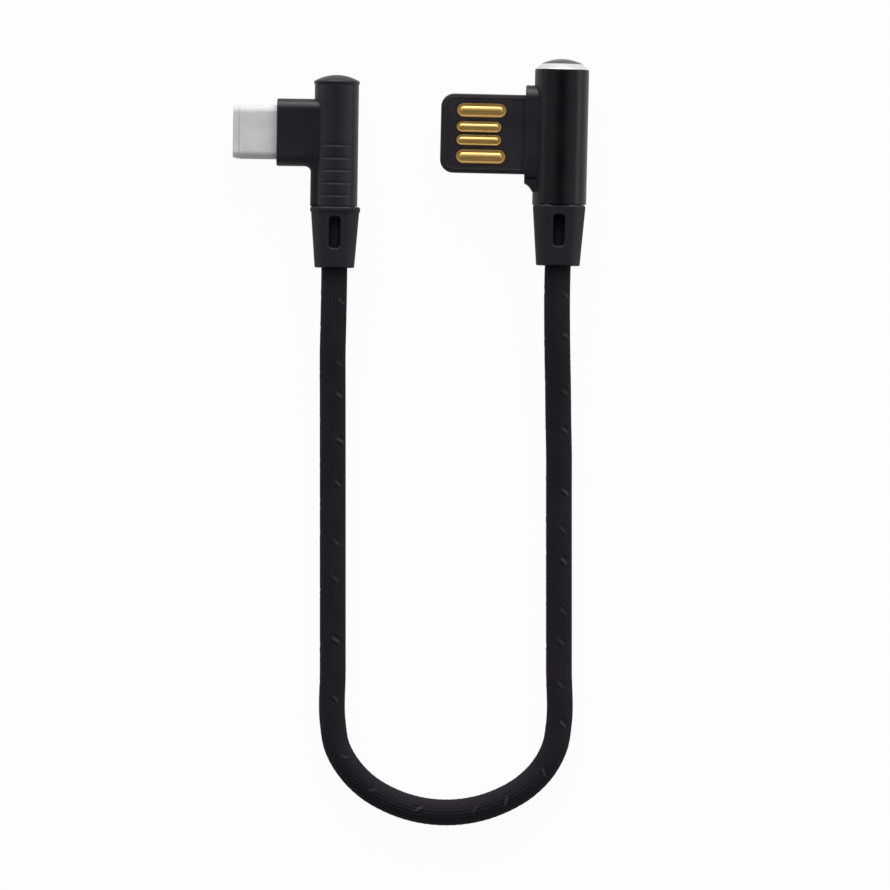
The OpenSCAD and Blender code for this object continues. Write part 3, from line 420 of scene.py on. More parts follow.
def woven_tube(name, points):
    """Tube along a line whose surface is a woven jacket. Round the cord run RIBS lengthwise ribs of
    half-round section; along each rib yarn loops swell every STITCH_LEN, out of step with the rib beside it;
    the tracer yarn's floats lie over them. Every radius stays inside the cord's own."""
    line, s = smooth_line(points, RING_STEP)
    s = s / MM
    cols = RIBS * 4
    angle = 2 * math.pi * np.arange(cols) / cols
    heading = np.gradient(line, axis=0)
    heading /= np.linalg.norm(heading, axis=1)[:, None]
    side = np.stack([-heading[:, 1], heading[:, 0], np.zeros(len(line))], 1)
    side /= np.linalg.norm(side, axis=1)[:, None]
    up = np.cross(heading, side)
    rib = RIBS * angle / (2 * math.pi)
    lobe = np.abs(np.sin(math.pi * rib)) ** 0.7
    step_out = np.floor(rib) % 2
    loops = 0.5 + 0.5 * np.cos(2 * math.pi * (s[:, None] / STITCH_LEN + 0.5 * step_out))
    radius = CORD_D / 2 - JACKET_BASE + RIB_RISE * lobe[None, :] + LOOP_RISE * loops * lobe
    painted_highlight_and_shade, height = tracer_field(s[:, None], angle[None, :], s[-1])
    radius = np.minimum(radius + height, CORD_D / 2)
    out = np.cos(angle)[None, :, None] * up[:, None] + np.sin(angle)[None, :, None] * side[:, None]
    rings = line[:, None] + MM * radius[..., None] * out
    rows = len(line)
    walls = quads(rows, cols, wrap=True)
    first, last = rows * cols, rows * cols + 1
    ring = np.arange(cols)
    turn = np.roll(ring, -1)
    start = np.stack([ring, turn, np.full(cols, first)], 1)
    end = (rows - 1) * cols + np.stack([turn, ring, np.full(cols, last - (rows - 1) * cols)], 1)
    place = np.concatenate([rings.reshape(-1, 3), line[[0, -1]]])
    piece = new_mesh(name, place, walls.tolist() + start.tolist() + end.tolist())
    mesh = piece.data
    # The painted highlight and painted shade of the tracer's floats, read by the cord's material
    values = np.concatenate([painted_highlight_and_shade.ravel(), [0, 0]]).astype(np.float32)
    mesh.attributes.new("float_highlight_and_shade", "FLOAT", "POINT").data.foreach_set("value", values)
    row, col = np.divmod(np.arange(rows * cols), cols)
    wall_rows = row[walls]
    wall_cols = col[walls]
    wall_cols = np.where((wall_cols == 0) & (wall_cols.max(1, keepdims=True) == cols - 1), cols, wall_cols)
    around = CORD_D * math.pi / cols
    uv = np.stack([s[wall_rows], wall_cols * around], -1).reshape(-1, 2)
    caps = np.zeros((6 * cols, 2))
    layer = mesh.uv_layers.new(name="weave")
    layer.data.foreach_set("uv", np.concatenate([uv, caps]).astype(np.float32).ravel())
    return piece, line, s[-1]


cord, cord_line, cord_length = woven_tube("cord_jacket", ROUTE)
finish_piece(cord, "woven_cord", "cord", crease=0)


# ---------- outlines and skins ----------

def rounded_box(width, height, radius, inset=0.0, count=9):
    """Outline of a box with round corners, anticlockwise about its middle. An inset draws it in evenly."""
    radius = max(radius - inset, 0.005)
    half = np.array([width / 2 - inset - radius, height / 2 - inset - radius])
    turn = np.linspace(0, math.pi / 2, count)
    corners = []
    for number, sign in enumerate(((1, 1), (-1, 1), (-1, -1), (1, -1))):
        angle = turn + number * math.pi / 2
        corners.append(half * sign + radius * np.stack([np.cos(angle), np.sin(angle)], 1))
    return np.concatenate(corners)


def upright(outline, z):
    """An outline across the barrel, laid at the height z."""
    return np.column_stack([outline, np.full(len(outline), z)])


def crosswise(outline, x, middle):
    """An outline of heights and thicknesses about a middle height, laid at the reach x."""
    return np.column_stack([np.full(len(outline), x), outline[:, 1], outline[:, 0] + middle])


def flatwise(outline, y, middle):
    """An outline of reaches and heights about a middle place, laid at the level y."""
    return np.column_stack([outline[:, 0] + middle[0], np.full(len(outline), y), outline[:, 1] + middle[1]])


def quarter(radius, steps=5):
    """Pairs of inset and depth along a quarter circle, from the edge of an end face to the side below it."""
    turn = np.linspace(0, math.pi / 2, steps)
    return np.stack([radius * (1 - np.sin(turn)), radius * (1 - np.cos(turn))], 1)


def skin(stack, ends=True, closed=False):
    """Points and faces of a surface through a stack of closed outlines with equal numbers of points: a grid
    of quads joined round each outline, with flat ends or, when closed, joined from last to first."""
    stack = list(stack)
    if closed:
        stack.append(stack[0])
    rows, cols = len(stack), len(stack[0])
    faces = quads(rows, cols, wrap=True).tolist()
    if ends and not closed:
        faces += [list(range(cols)), list(range((rows - 1) * cols, rows * cols))]
    return np.concatenate(stack), faces


TURN_SIDES = 96


def turned(profile, closed=False):
    """Points and faces of a profile of (radius, height) pairs turned about the barrel's axis: x is radius
    times cos, y radius times sin of the angle."""
    angle = 2 * math.pi * np.arange(TURN_SIDES) / TURN_SIDES
    circle = np.stack([np.cos(angle), np.sin(angle)], 1)
    return skin([upright(radius * circle, z) for radius, z in profile], ends=False, closed=closed)


def inside(points, outline):
    """Which 2-D points lie inside a closed outline: those whose ray to +x crosses it an odd number of
    times."""
    a = outline[None]
    b = np.roll(outline, -1, axis=0)[None]
    x, y = points[:, :1], points[:, 1:]
    crossed = (a[..., 1] > y) != (b[..., 1] > y)
    rise = np.where(b[..., 1] == a[..., 1], 1, b[..., 1] - a[..., 1])
    meet = a[..., 0] + (y - a[..., 1]) * (b[..., 0] - a[..., 0]) / rise
    return (crossed & (meet > x)).sum(1) % 2 == 1


def sheet(outline, holes, extra=()):
    """Points and triangles of a flat sheet inside an outline and outside its holes, with extra points in
    it."""
    loops = [outline, *holes]
    points = np.concatenate([*loops, *extra])
    edges = []
    start = 0
    for loop in loops:
        index = start + np.arange(len(loop))
        edges += np.stack([index, np.roll(index, -1)], 1).tolist()
        start += len(loop)
    made = geometry.delaunay_2d_cdt([Vector(point) for point in points], edges, [], 0, 1e-7)
    place = np.array([tuple(point) for point in made[0]])
    triangles = np.array(made[2])
    middle = place[triangles].mean(1)
    keep = inside(middle, outline)
    for hole in holes:
        keep &= ~inside(middle, hole)
    return place, triangles[keep].tolist()


def plug_piece(name, plug, node, slot, shells, crease=40, look=None):
    """One outer piece of a plug from its shells, each a pair of points and faces in the plug's frame."""
    points = []
    faces = []
    start = 0
    for shell_points, shell_faces in shells:
        points.append(shell_points)
        faces += [[start + corner for corner in face] for face in shell_faces]
        start += len(shell_points)
    finish_piece(new_mesh(name, plug.lay(np.concatenate(points)), faces), slot, node, crease, look)


# ---------- sleeves, webs and caps ----------

# Points on each arc of a sleeve's outline, and the easing of the edges along its slot
ARC_POINTS = 97
SLOT_EASE = 0.02
# Half the width, the depth and the length of a grip groove, and how softly its ends run out
GROOVE_HALF = 0.34
GROOVE_DEPTH = 0.07
GROOVE_LEN = 4.8
GROOVE_RUNOUT = 0.25


def slotted_outline(outer, inner, slot_edge, inset):
    """Outline of a tube slotted along its side at -x: the outer arc, a face across the wall with its outer
    corner eased, the inner arc and a face back. The inset draws all of it in. The outer arc comes first."""
    edge = slot_edge - inset
    outer_end = math.acos(-(edge - SLOT_EASE) / (outer - inset))
    inner_end = math.acos(-edge / (inner + inset))
    out = np.linspace(-outer_end, outer_end, ARC_POINTS)
    back = np.linspace(inner_end, -inner_end, ARC_POINTS)
    shoulder = (outer - inset) * math.sin(outer_end) - SLOT_EASE
    return np.concatenate([
        (outer - inset) * np.stack([np.cos(out), np.sin(out)], 1),
        [[-edge, shoulder]],
        (inner + inset) * np.stack([np.cos(back), np.sin(back)], 1),
        [[-edge, -shoulder]],
    ])


def sleeve(name, plug, node, slot, wall, grooves=()):
    """Slotted tube: its outline carried along the barrel and drawn in along a quarter circle at either end.
    Each groove is a dip of cosine section across the front and the back."""
    low, high = plug.span(node)
    outer = high[0]
    ends = quarter(0.05)
    near = [middle + GROOVE_HALF * np.linspace(-1, 1, 11) for middle in grooves]
    heights = np.unique(np.concatenate([np.linspace(low[2] + 0.1, high[2] - 0.1, 12), *near]))
    stack = [upright(slotted_outline(outer, outer - wall, -low[0], i), low[2] + d) for i, d in ends]
    for z in heights:
        outline = slotted_outline(outer, outer - wall, -low[0], 0.0)
        away = min((abs(z - middle) / GROOVE_HALF for middle in grooves), default=1.0)
        dip = GROOVE_DEPTH * math.cos(math.pi / 2 * min(away, 1.0)) ** 2
        share = np.clip((GROOVE_LEN / 2 - np.abs(outline[:ARC_POINTS, 0])) / GROOVE_RUNOUT, 0, 1)
        outline[:ARC_POINTS] *= (1 - dip / outer * share ** 2 * (3 - 2 * share))[:, None]
        stack.append(upright(outline, z))
    for i, d in ends[::-1]:
        stack.append(upright(slotted_outline(outer, outer - wall, -low[0], i), high[2] - d))
    plug_piece(name, plug, node, slot, [skin(stack)])


def web(radius, edge, foot, top):
    """The strip that fills a sleeve's slot: a segment of the barrel's circle beyond the slot's edge, drawn
    in along a quarter circle at either end."""
    stack = []
    ends = quarter(0.06)
    for inset, z in [*((i, foot + d) for i, d in ends), *((i, top - d) for i, d in ends[::-1])]:
        turn = math.acos((edge + 0.01) / (radius - inset))
        arc = np.linspace(math.pi - turn, math.pi + turn, 41)
        half = (radius - inset) * math.sin(turn) - 0.01
        stack.append(upright(np.concatenate([
            (radius - inset) * np.stack([np.cos(arc), np.sin(arc)], 1),
            [[-edge, -half], [-edge + 0.3, -half], [-edge + 0.3, half], [-edge, half]],
        ]), z))
    return skin(stack)


def nosed_block(reach, root, height, thickness, radius, middle, ease):
    """A bar that leaves the barrel at -x: a box outline carried from its root to its nose, where it is drawn
    in along a quarter circle."""
    outlines = [
        crosswise(rounded_box(height, thickness, radius, inset), -reach + depth, middle)
        for inset, depth in quarter(ease, 7)
    ]
    return skin([*outlines, crosswise(rounded_box(height, thickness, radius), -root, middle)])


def core(radius, foot, top):
    """The round core of a plug, which closes the fine gaps beside the web."""
    return turned([(0, foot), (radius, foot), (radius, top), (0, top)])


def dome(radius, foot, rise):
    """Profile of a cap: a circular arc from its foot circle up to the axis."""
    ball = (radius ** 2 + rise ** 2) / (2 * rise)
    turn = np.linspace(math.asin(radius / ball), 0, 14)
    return [(ball * math.sin(a), foot + rise - ball * (1 - math.cos(a))) for a in turn]


# ---------- strain reliefs ----------

# Width, length, corner radius and middle height of the windows, and the bevel round them
WINDOW_W = 1.7
WINDOW_LEN = 4.7
WINDOW_ROUND = 0.62
WINDOW_MID = 5.3
WINDOW_BEVEL = 0.3
# The bevel's shape: how far the window widens and how far the bevel sinks, as shares of WINDOW_BEVEL
WINDOW_EDGE = ((1.0, 0.0), (0.82, 0.02), (0.62, 0.08), (0.42, 0.2), (0.22, 0.42), (0.08, 0.7), (0.0, 1.0))
# How far each easing of an outline's corners reaches, and how wide the bore is round the cord
CORNER_EASE = 0.42
BORE_R = CORD_D / 2 + 0.05
BORE_SIDES = 48
BORE_STEPS = 10
# Rounding of a relief's lower edge
FOOT_EASE = 0.18


def eased(before, corner, after, count=7):
    """Points of the parabola from before to after that keeps the directions of the lines to their corner."""
    t = np.linspace(0, 1, count)[:, None]
    return (1 - t) ** 2 * before + 2 * t * (1 - t) * corner + t ** 2 * after


def relief_outline(width, thickness, panel, inset):
    """Outline of a relief: flat front, back and sides, and between them arcs of the circle through the ends
    of the front, with eased corners. Its right half comes first, from the front panel to the back one."""
    width, thickness, panel = width - 2 * inset, thickness - 2 * inset, panel - inset
    radius = math.hypot(panel, thickness) / 2
    start = math.atan2(thickness, panel)
    side = math.acos(min(width / 2 / radius, 1))
    turn = np.linspace(start - CORNER_EASE / radius, side + CORNER_EASE / radius, 7)
    arc = radius * np.stack([np.cos(turn), np.sin(turn)], 1)
    panel_end = np.array([panel, thickness]) / 2
    side_end = radius * np.array([math.cos(side), math.sin(side)])
    back = np.concatenate([
        eased(panel_end - (CORNER_EASE, 0), panel_end, arc[0]), arc[1:-1],
        eased(arc[-1], side_end, side_end - (0, min(CORNER_EASE, 0.8 * side_end[1]))),
    ])
    right = np.concatenate([back * (1, -1), back[::-1]])
    return np.concatenate([right, -right])


def window_outline(grow):
    """Outline of a window in a relief, widened by grow."""
    return rounded_box(WINDOW_W, WINDOW_LEN, WINDOW_ROUND, -grow) + (0, WINDOW_MID)


def relief_rows(length, ease, out, tall):
    """Inset and height of each outline of a relief from its foot up: a quarter circle, a straight stretch,
    the step out to any lip, and a quarter circle."""
    flat_top = length - (tall + 0.14 if out else ease)
    rows = [(i, d) for i, d in quarter(FOOT_EASE)[:-1]]
    rows += [(0.0, z) for z in np.linspace(FOOT_EASE, flat_top, 12)]
    if out:
        rows += [(-0.4 * out, flat_top + 0.07), (-out, flat_top + 0.16)]
    return rows + [(i - out, length - d) for i, d in quarter(ease, 6)[::-1]][(0 if out else 1):]


def relief_panel(sides, foot, rise, face):
    """One panel of a relief and its window's walls. The panel is a flat sheet between two side lines, foot
    plus rise times the height away from the axis; the walls follow the bevel and go in to the bore."""
    points, triangles = sheet(np.concatenate([sides[0], sides[1][::-1]]), [window_outline(WINDOW_BEVEL)])
    panel = np.column_stack([points[:, 0], face * (foot + rise * points[:, 1]), points[:, 1]])
    rings = []
    for grow, sink in WINDOW_EDGE:
        loop = window_outline(WINDOW_BEVEL * grow)
        y = face * (foot + rise * loop[:, 1] - WINDOW_BEVEL * sink)
        rings.append(np.column_stack([loop[:, 0], y, loop[:, 1]]))
    loop = window_outline(0.0)
    y = face * np.sqrt(BORE_R ** 2 - loop[:, 0] ** 2)
    rings.append(np.column_stack([loop[:, 0], y, loop[:, 1]]))
    return [(panel, triangles), skin(rings, ends=False)]


def relief_bore(length):
    """The bore's wall: a sheet of angles and heights round its windows, rolled round the cord, so that x is
    the bore's radius times cos and y times sin of the angle."""
    turn = 2 * math.pi * np.arange(BORE_SIDES + 1) / BORE_SIDES
    z = np.linspace(0, length, BORE_STEPS + 1)
    loop = np.concatenate([
        np.column_stack([turn, np.zeros_like(turn)]),
        np.column_stack([np.full_like(z[1:], turn[-1]), z[1:]]),
        np.column_stack([turn[-2::-1], np.full_like(turn[1:], length)]),
        np.column_stack([np.zeros_like(z[1:-1]), z[-2:0:-1]]),
    ])
    opening = window_outline(0.0)
    lean = np.arcsin(opening[:, 0] / BORE_R)
    grid = np.stack(np.meshgrid(turn[1:-1], z[1:-1]), -1).reshape(-1, 2)
    holes = []
    clear = np.ones(len(grid), bool)
    for middle, side in ((math.pi / 2, -1), (3 * math.pi / 2, 1)):
        holes.append(np.column_stack([middle + side * lean, opening[:, 1]]))
        away = np.abs(grid - (middle, WINDOW_MID))
        clear &= np.any(away > (0.5, WINDOW_LEN / 2 + 0.1), axis=1)
    points, triangles = sheet(loop, holes, [grid[clear]])
    x, y = BORE_R * np.cos(points[:, 0]), BORE_R * np.sin(points[:, 0])
    return np.column_stack([x, y, points[:, 1]]), triangles


def relief(name, plug, node, end, top, ease, lip=(0.0, 0.0)):
    """Tapered relief. Its outline grows evenly from the sizes of its end to those of its top (width,
    thickness, width of the panels), with its top edge eased. Two panels fill its front and back; the bore
    and a flat ring at either end close it. A lip, of a reach and a height, steps out at the top."""
    end, top = np.array(end), np.array(top)
    length = plug.span(node)[1][2]
    rows = relief_rows(length, ease, *lip)
    stack = [upright(relief_outline(*(end + (top - end) * z / length), inset), z) for inset, z in rows]
    cols = len(stack[0])
    half = cols // 2
    flat = [number for number, (inset, z) in enumerate(rows) if inset == 0.0]
    keep = np.ones((len(stack) - 1, cols), bool)
    keep[flat[0]:flat[-1], [half - 1, cols - 1]] = False
    shells = [(np.concatenate(stack), quads(len(stack), cols, wrap=True)[keep.ravel()].tolist())]
    foot, rise = end[1] / 2, (top[1] - end[1]) / 2 / length
    for face, first, last in ((-1, 0, cols - 1), (1, half - 1, half)):
        sides = [np.array([stack[number][k] for number in flat])[:, [0, 2]] for k in (first, last)]
        shells += relief_panel(sides, foot, rise, face)
    shells.append(relief_bore(length))
    turn = 2 * math.pi * np.arange(BORE_SIDES) / BORE_SIDES
    circle = BORE_R * np.stack([np.cos(turn), np.sin(turn)], 1)
    for outline in (stack[0], stack[-1]):
        points, triangles = sheet(outline[:, :2], [circle])
        shells.append((upright(points, outline[0, 2]), triangles))
    plug_piece(name, plug, node, "relief_black", shells, crease=45)


# ---------- charger plug ----------

# How far the contacts' ends lie behind the tongue's tip; length and width of the outer and the inner
# contacts, and how far apart the middles of each pair are
PAD_SETBACK = 2.4
PAD_KINDS = ((7.5, 2.1, 7.0), (6.8, 1.6, 2.0))
# Corner radius of the tongue's tip, and how far in the fine rim runs on its faces
TONGUE_ROUND = 2.0
RIM_PLACE = 0.58
# Section of the tongue's edge, as inset and depth below the highest line: the eased edge, a flat band, the
# rim and the face inside it
TONGUE_EDGE = (
    (0.0, 0.34), (0.02, 0.22), (0.08, 0.1), (0.18, 0.055), (RIM_PLACE - 0.16, 0.045),
    (RIM_PLACE - 0.07, 0.012), (RIM_PLACE, 0.0), (RIM_PLACE + 0.07, 0.01), (RIM_PLACE + 0.16, 0.035),
    (RIM_PLACE + 0.26, 0.035),
)
# Walls of the moat round a contact: how much wider than the contact, and how deep
MOAT = ((0.36, 0.035), (0.3, 0.06), (0.26, 0.2))
# Share of a contact's half width that its ridge takes, and the height of the step that the ridge stands on
RIDGE_SHARE = 0.6
RIDGE_FOOT = 0.05


def pad_places():
    """Middle place, length and width of each of the four contacts on the tongue."""
    low, high = HOST.span("host_tongue")
    ends, middle = low[0] + PAD_SETBACK, (low[2] + high[2]) / 2
    return [
        ((ends + length / 2, middle + side * pitch / 2), length, width)
        for length, width, pitch in PAD_KINDS for side in (1, -1)
    ]


def moat_outline(length, wide, grow):
    """A stadium outline round a contact, wider than it by grow."""
    return rounded_box(length + grow, wide + grow, (wide + grow) / 2)


def tongue():
    """The flat tongue: a box outline with round corners, drawn in along the section of its edge on both
    faces. Each face is a flat sheet with a moat sunk round each contact."""
    low, high = HOST.span("host_tongue")
    width, height, thick = high[0] - low[0], high[2] - low[2], (high[1] - low[1]) / 2
    middle = ((low[0] + high[0]) / 2, (low[2] + high[2]) / 2)
    levels = [(i, d - thick) for i, d in TONGUE_EDGE[::-1]] + [(i, thick - d) for i, d in TONGUE_EDGE]
    rings = [flatwise(rounded_box(width, height, TONGUE_ROUND, i), y, middle) for i, y in levels]
    shells = [skin(rings, ends=False)]
    inset, depth = TONGUE_EDGE[-1]
    inner = rounded_box(width, height, TONGUE_ROUND, inset) + middle
    moats = [moat_outline(length, wide, MOAT[0][0]) + place for place, length, wide in pad_places()]
    for face in (-1, 1):
        points, triangles = sheet(inner, moats)
        shells.append((np.insert(points, 1, face * (thick - depth), axis=1), triangles))
        for place, length, wide in pad_places():
            walls = [
                flatwise(moat_outline(length, wide, grow), face * (thick - sink), place)
                for grow, sink in MOAT
            ]
            shells.append(skin(walls, ends=False))
            points, triangles = sheet(moat_outline(length, wide, MOAT[-1][0]) + place, [])
            shells.append((np.insert(points, 1, face * (thick - MOAT[-1][1]), axis=1), triangles))
    plug_piece("tongue", HOST, "host_tongue", "black_mould", shells, crease=50, look="tongue_black")


def pads(name, node, face):
    """Four contacts: stadium outlines with a low rim, a step and a ridge of elliptic section."""
    low, high = HOST.span("host_tongue")
    level = (high[1] - low[1]) / 2
    turn = np.linspace(0, math.pi / 2, 12)
    shells = []
    for place, length, wide in pad_places():
        half = wide / 2
        ridge = RIDGE_SHARE * half
        step = half - ridge
        profile = [(0.0, -0.2), (0.0, 0.095), (0.008, 0.1), (0.4 * step, 0.1), (0.6 * step, 0.08),
                   (0.9 * step, RIDGE_FOOT)]
        profile += [(half - ridge * math.cos(a), RIDGE_FOOT + 0.3 * math.sin(a)) for a in turn]
        shells.append(skin([
            flatwise(rounded_box(length, wide, half, min(i, half - 0.006)), face * (level + h), place)
            for i, h in profile
        ]))
    plug_piece(name, HOST, node, "gold_contact", shells, crease=60)


# Radius of the ring's hole and of the peg in it, and how far the ring's rim stands over its seat
RING_HOLE_R = 2.35
HOST_PEG_R = 2.3
RING_RIM = 0.22


def trim_ring():
    """The polished ring: a cone that runs up from the sleeve's edge to a rim round its hole, with its edges
    eased."""
    low, high = HOST.span("host_trim_ring")
    cap = HOST.span("host_end_cap")[1][0]
    outer, foot, top = high[0], low[2] + 0.01, high[2] + RING_RIM
    profile = [(RING_HOLE_R, foot), (outer - 0.05, foot), (outer, foot + 0.04), (outer - 0.02, foot + 0.1),
               (cap + 0.06, top - 0.02), (cap - 0.05, top), (RING_HOLE_R, top)]
    shells = [turned(profile, closed=True)]
    plug_piece("trim_ring", HOST, "host_trim_ring", "bright_ring", shells, crease=50)


def host_cap():
    """The low dome on the ring's rim, with its peg below."""
    low, high = HOST.span("host_end_cap")
    foot = HOST.span("host_trim_ring")[1][2] + RING_RIM
    arc = dome(high[0] + 0.03, foot + 0.03, high[2] - foot - 0.03)
    profile = [(0, low[2]), (HOST_PEG_R, low[2]), (HOST_PEG_R, foot), (high[0] + 0.01, foot), *arc]
    plug_piece("crown", HOST, "host_end_cap", "cap_black", [turned(profile)], crease=50)


# How far from the barrel's axis the collar and the device plug's block begin
BAR_ROOT = 1.5
# Height, thickness and corner radius of the collar round the tongue's root
COLLAR = (15.0, 4.5, 2.0)
# Where the web meets the sleeve's slot, and the radius of the core behind it
HOST_WEB_EDGE = 2.95
HOST_CORE_R = 3.55
# Outline of the small wedge below the collar, half its thickness, and which corners its easing draws in
WEDGE = np.array([
    (-5.3, 12.35), (-4.65, 11.85), (-4.1, 11.05), (-2.6, 11.05), (-2.6, 12.9), (-5.1, 12.9),
])
WEDGE_HALF = 2.2
WEDGE_EASED = np.array([1, 1, 1, 0, 0, 0])[:, None]


def wedge():
    """The wedge below the collar: its outline carried through its thickness, its lower edge drawn in along
    a quarter circle at both faces."""
    ease = quarter(0.25)
    levels = [(i, d - WEDGE_HALF) for i, d in ease] + [(i, WEDGE_HALF - d) for i, d in ease[::-1]]
    return skin([flatwise(WEDGE + i * WEDGE_EASED, y, (0, 0)) for i, y in levels])


def host_body():
    """The collar with the web that fills the sleeve's slot, and the core behind them."""
    low, high = HOST.span("host_overmould")
    middle = sum(HOST.span("host_tongue")[k][2] for k in (0, 1)) / 2
    radius = HOST.span("host_sleeve")[1][0]
    shells = [
        web(radius, HOST_WEB_EDGE, low[2] - 0.06, high[2]),
        core(HOST_CORE_R, low[2], high[2]),
        nosed_block(-low[0], BAR_ROOT, *COLLAR, middle, 0.22),
        wedge(),
    ]
    plug_piece("collar_body", HOST, "host_overmould", "black_mould", shells)


# ---------- device plug ----------

# Height, thickness and corner radius of the block round the shell
BLOCK = (10.2, 4.6, 1.6)
# Reach, thickness and corner radius of the strip below the block, and the radius of the hollow corner
# between them
STRIP = (3.8, 3.8, 0.6)
STRIP_FILLET = 0.9
# Where the web meets the sleeve's slot, and the radii of the core behind it and of the cap's peg
DEVICE_WEB_EDGE = 2.75
DEVICE_CORE_R = 2.9
DEVICE_PEG_R = 1.9


def device_body():
    """The block round the shell, the strip below it, whose reach grows along a concave quarter circle where
    they meet, the web above and below, and the core behind them."""
    low, high = DEVICE.span("device_overmould")
    middle = sum(DEVICE.span("device_shell")[k][2] for k in (0, 1)) / 2
    reach, thick, rounding = STRIP
    foot = low[2] + 0.05
    corner = middle - BLOCK[0] / 2 - STRIP_FILLET
    strip = []
    for inset, depth in quarter(0.12):
        strip.append((reach - inset, foot + depth, inset))
    strip.append((reach, corner, 0.0))
    for turn in np.linspace(0, math.pi / 2, 9)[1:]:
        strip.append((
            reach + STRIP_FILLET * (1 - math.cos(turn)), corner + STRIP_FILLET * math.sin(turn), 0.0
        ))
    strip.append((reach + STRIP_FILLET, middle, 0.0))
    outlines = []
    for far, z, inset in strip:
        outline = rounded_box(far - BAR_ROOT, thick - 2 * inset, rounding)
        outlines.append(upright(outline - ((far + BAR_ROOT) / 2, 0), z))
    shells = [
        web(DEVICE.span("device_sleeve")[1][0], DEVICE_WEB_EDGE, low[2] + 0.1, high[2]),
        core(DEVICE_CORE_R, low[2], high[2]),
        skin(outlines),
        nosed_block(-low[0], BAR_ROOT, *BLOCK, middle, 0.24),
    ]
    plug_piece("block_body", DEVICE, "device_overmould", "black_mould", shells)


def shell():
    """The plain steel shell: a stadium tube. A fine line and a round lead-in draw its mouth in, and the wall
    turns inwards there."""
    low, high = DEVICE.span("device_shell")
    wide, thick = high[2] - low[2], high[1] - low[1]
    middle = (low[2] + high[2]) / 2
    tip = low[0]
    mouth = [(high[0], 0.0), (tip + 1.03, 0.0), (tip + 0.98, 0.12), (tip + 0.9, 0.13), (tip + 0.84, 0.02),
             (tip + 0.55, 0.09), (tip + 0.3, 0.16), (tip + 0.14, 0.22), (tip + 0.04, 0.29), (tip, 0.36),
             (tip + 0.02, 0.47), (tip + 0.09, 0.54), (tip + 0.2, 0.55), (tip + 0.24, 0.52),
             (tip + 0.4, 0.3), (high[0], 0.3)]
    stack = [crosswise(rounded_box(wide, thick, thick / 2, i, 13), x, middle) for x, i in mouth]
    plug_piece("steel_tube", DEVICE, "device_shell", "steel_shell", [skin(stack, closed=True)], crease=50)


def device_cap():
    """The end cap: a rim a little wider than the sleeve, eased at both edges, a low dome and its peg."""
    low, high = DEVICE.span("device_end_cap")
    rim = high[0]
    side, foot = DEVICE.span("device_sleeve")[1][[0, 2]]
    profile = [(0, low[2]), (DEVICE_PEG_R, low[2]), (DEVICE_PEG_R, foot), (side - 0.02, foot),
               (side + 0.01, foot + 0.03), (rim - 0.01, foot + 0.3), (rim, foot + 0.38),
               (rim - 0.03, foot + 0.48), (rim - 0.12, foot + 0.58)]
    profile += dome(rim - 0.16, foot + 0.6, high[2] - foot - 0.6)
    plug_piece("end_cap", DEVICE, "device_end_cap", "black_sleeve_plastic", [turned(profile)], crease=50)


# The grip grooves: how far the first is from the sleeve's foot, how far apart they are, and how many
GRIP_START = 1.6
GRIP_PITCH = 1.9
GRIP_COUNT = 5

sleeve("metal_sleeve", HOST, "host_sleeve", "black_anodised", wall=0.5)
trim_ring()
host_cap()
host_body()
tongue()
pads("front_pads", "host_contacts_front", -1)
pads("back_pads", "host_contacts_back", 1)
relief("charger_relief", HOST, "host_strain_relief", end=(6.6, 6.2, 3.7), top=(8.0, 7.8, 4.6), ease=0.4)
grooves = DEVICE.span("device_sleeve")[0][2] + GRIP_START + GRIP_PITCH * np.arange(GRIP_COUNT)
sleeve("grip_sleeve", DEVICE, "device_sleeve", "black_sleeve_plastic", wall=0.4, grooves=grooves)
device_cap()
device_body()
shell()
relief(
    "device_relief", DEVICE, "device_strain_relief",
    end=(6.0, 5.8, 3.4), top=(7.4, 6.8, 4.3), ease=0.36, lip=(0.12, 0.7),
)


# ---------- studio ----------

# Half the floor's width, in metres, so that its edge is past every view from above
FLOOR = 20
# Shares of the floor's own plain white that the camera sees, and that metal and glass reflect or let pass
WHITE_SEEN = 0.96
WHITE_REFLECTED = 0.46
# Light of the studio's walls and ceiling, from the horizon up: sine of the height, and brightness
CEILING = ((0.25, 0.85), (0.55, 0.68), (0.84, 0.56), (0.93, 0.28), (0.98, 0.08), (1.0, 0.06))
# How the light falls off to the front and to the left: axis, where its fall ends and begins, what is left
FALLS = (("Y", -0.8, 0.1, 0.42), ("X", -0.9, -0.2, 0.66))
# Extra light of the window at the back, which grows with the square of y
BACK_GLOW = 2.1


def white_floor():
    """Pale painted sweep: a light grey paint that takes the object's shadow, under a plain white that the
    camera sees and that metal and glass show in part."""
    material, tree = new_material("white_sweep")
    path = add(tree, "ShaderNodeLightPath").outputs
    seen = path["Is Camera Ray"]
    for kind in ("Is Glossy Ray", "Is Transmission Ray"):
        inputs = {0: seen, 1: path[kind]}
        seen = add(tree, "ShaderNodeMath", inputs, operation="ADD", use_clamp=True).outputs[0]
    share = add(tree, "ShaderNodeMath", {0: seen, 1: WHITE_REFLECTED}, operation="MULTIPLY").outputs[0]
    inputs = {0: path["Is Camera Ray"], 1: WHITE_SEEN - WHITE_REFLECTED, 2: share}
    share = add(tree, "ShaderNodeMath", inputs, operation="MULTIPLY_ADD").outputs[0]
    paint = add(tree, "ShaderNodeBsdfDiffuse", {"Color": linear("#d8d8d8")}).outputs["BSDF"]
    glow = add(tree, "ShaderNodeEmission", {"Color": (1, 1, 1, 1), "Strength": 1.0}).outputs["Emission"]
    both = add(tree, "ShaderNodeMixShader", {0: share, 1: paint, 2: glow})
    add(tree, "ShaderNodeOutputMaterial", {"Surface": both.outputs["Shader"]})
    return material


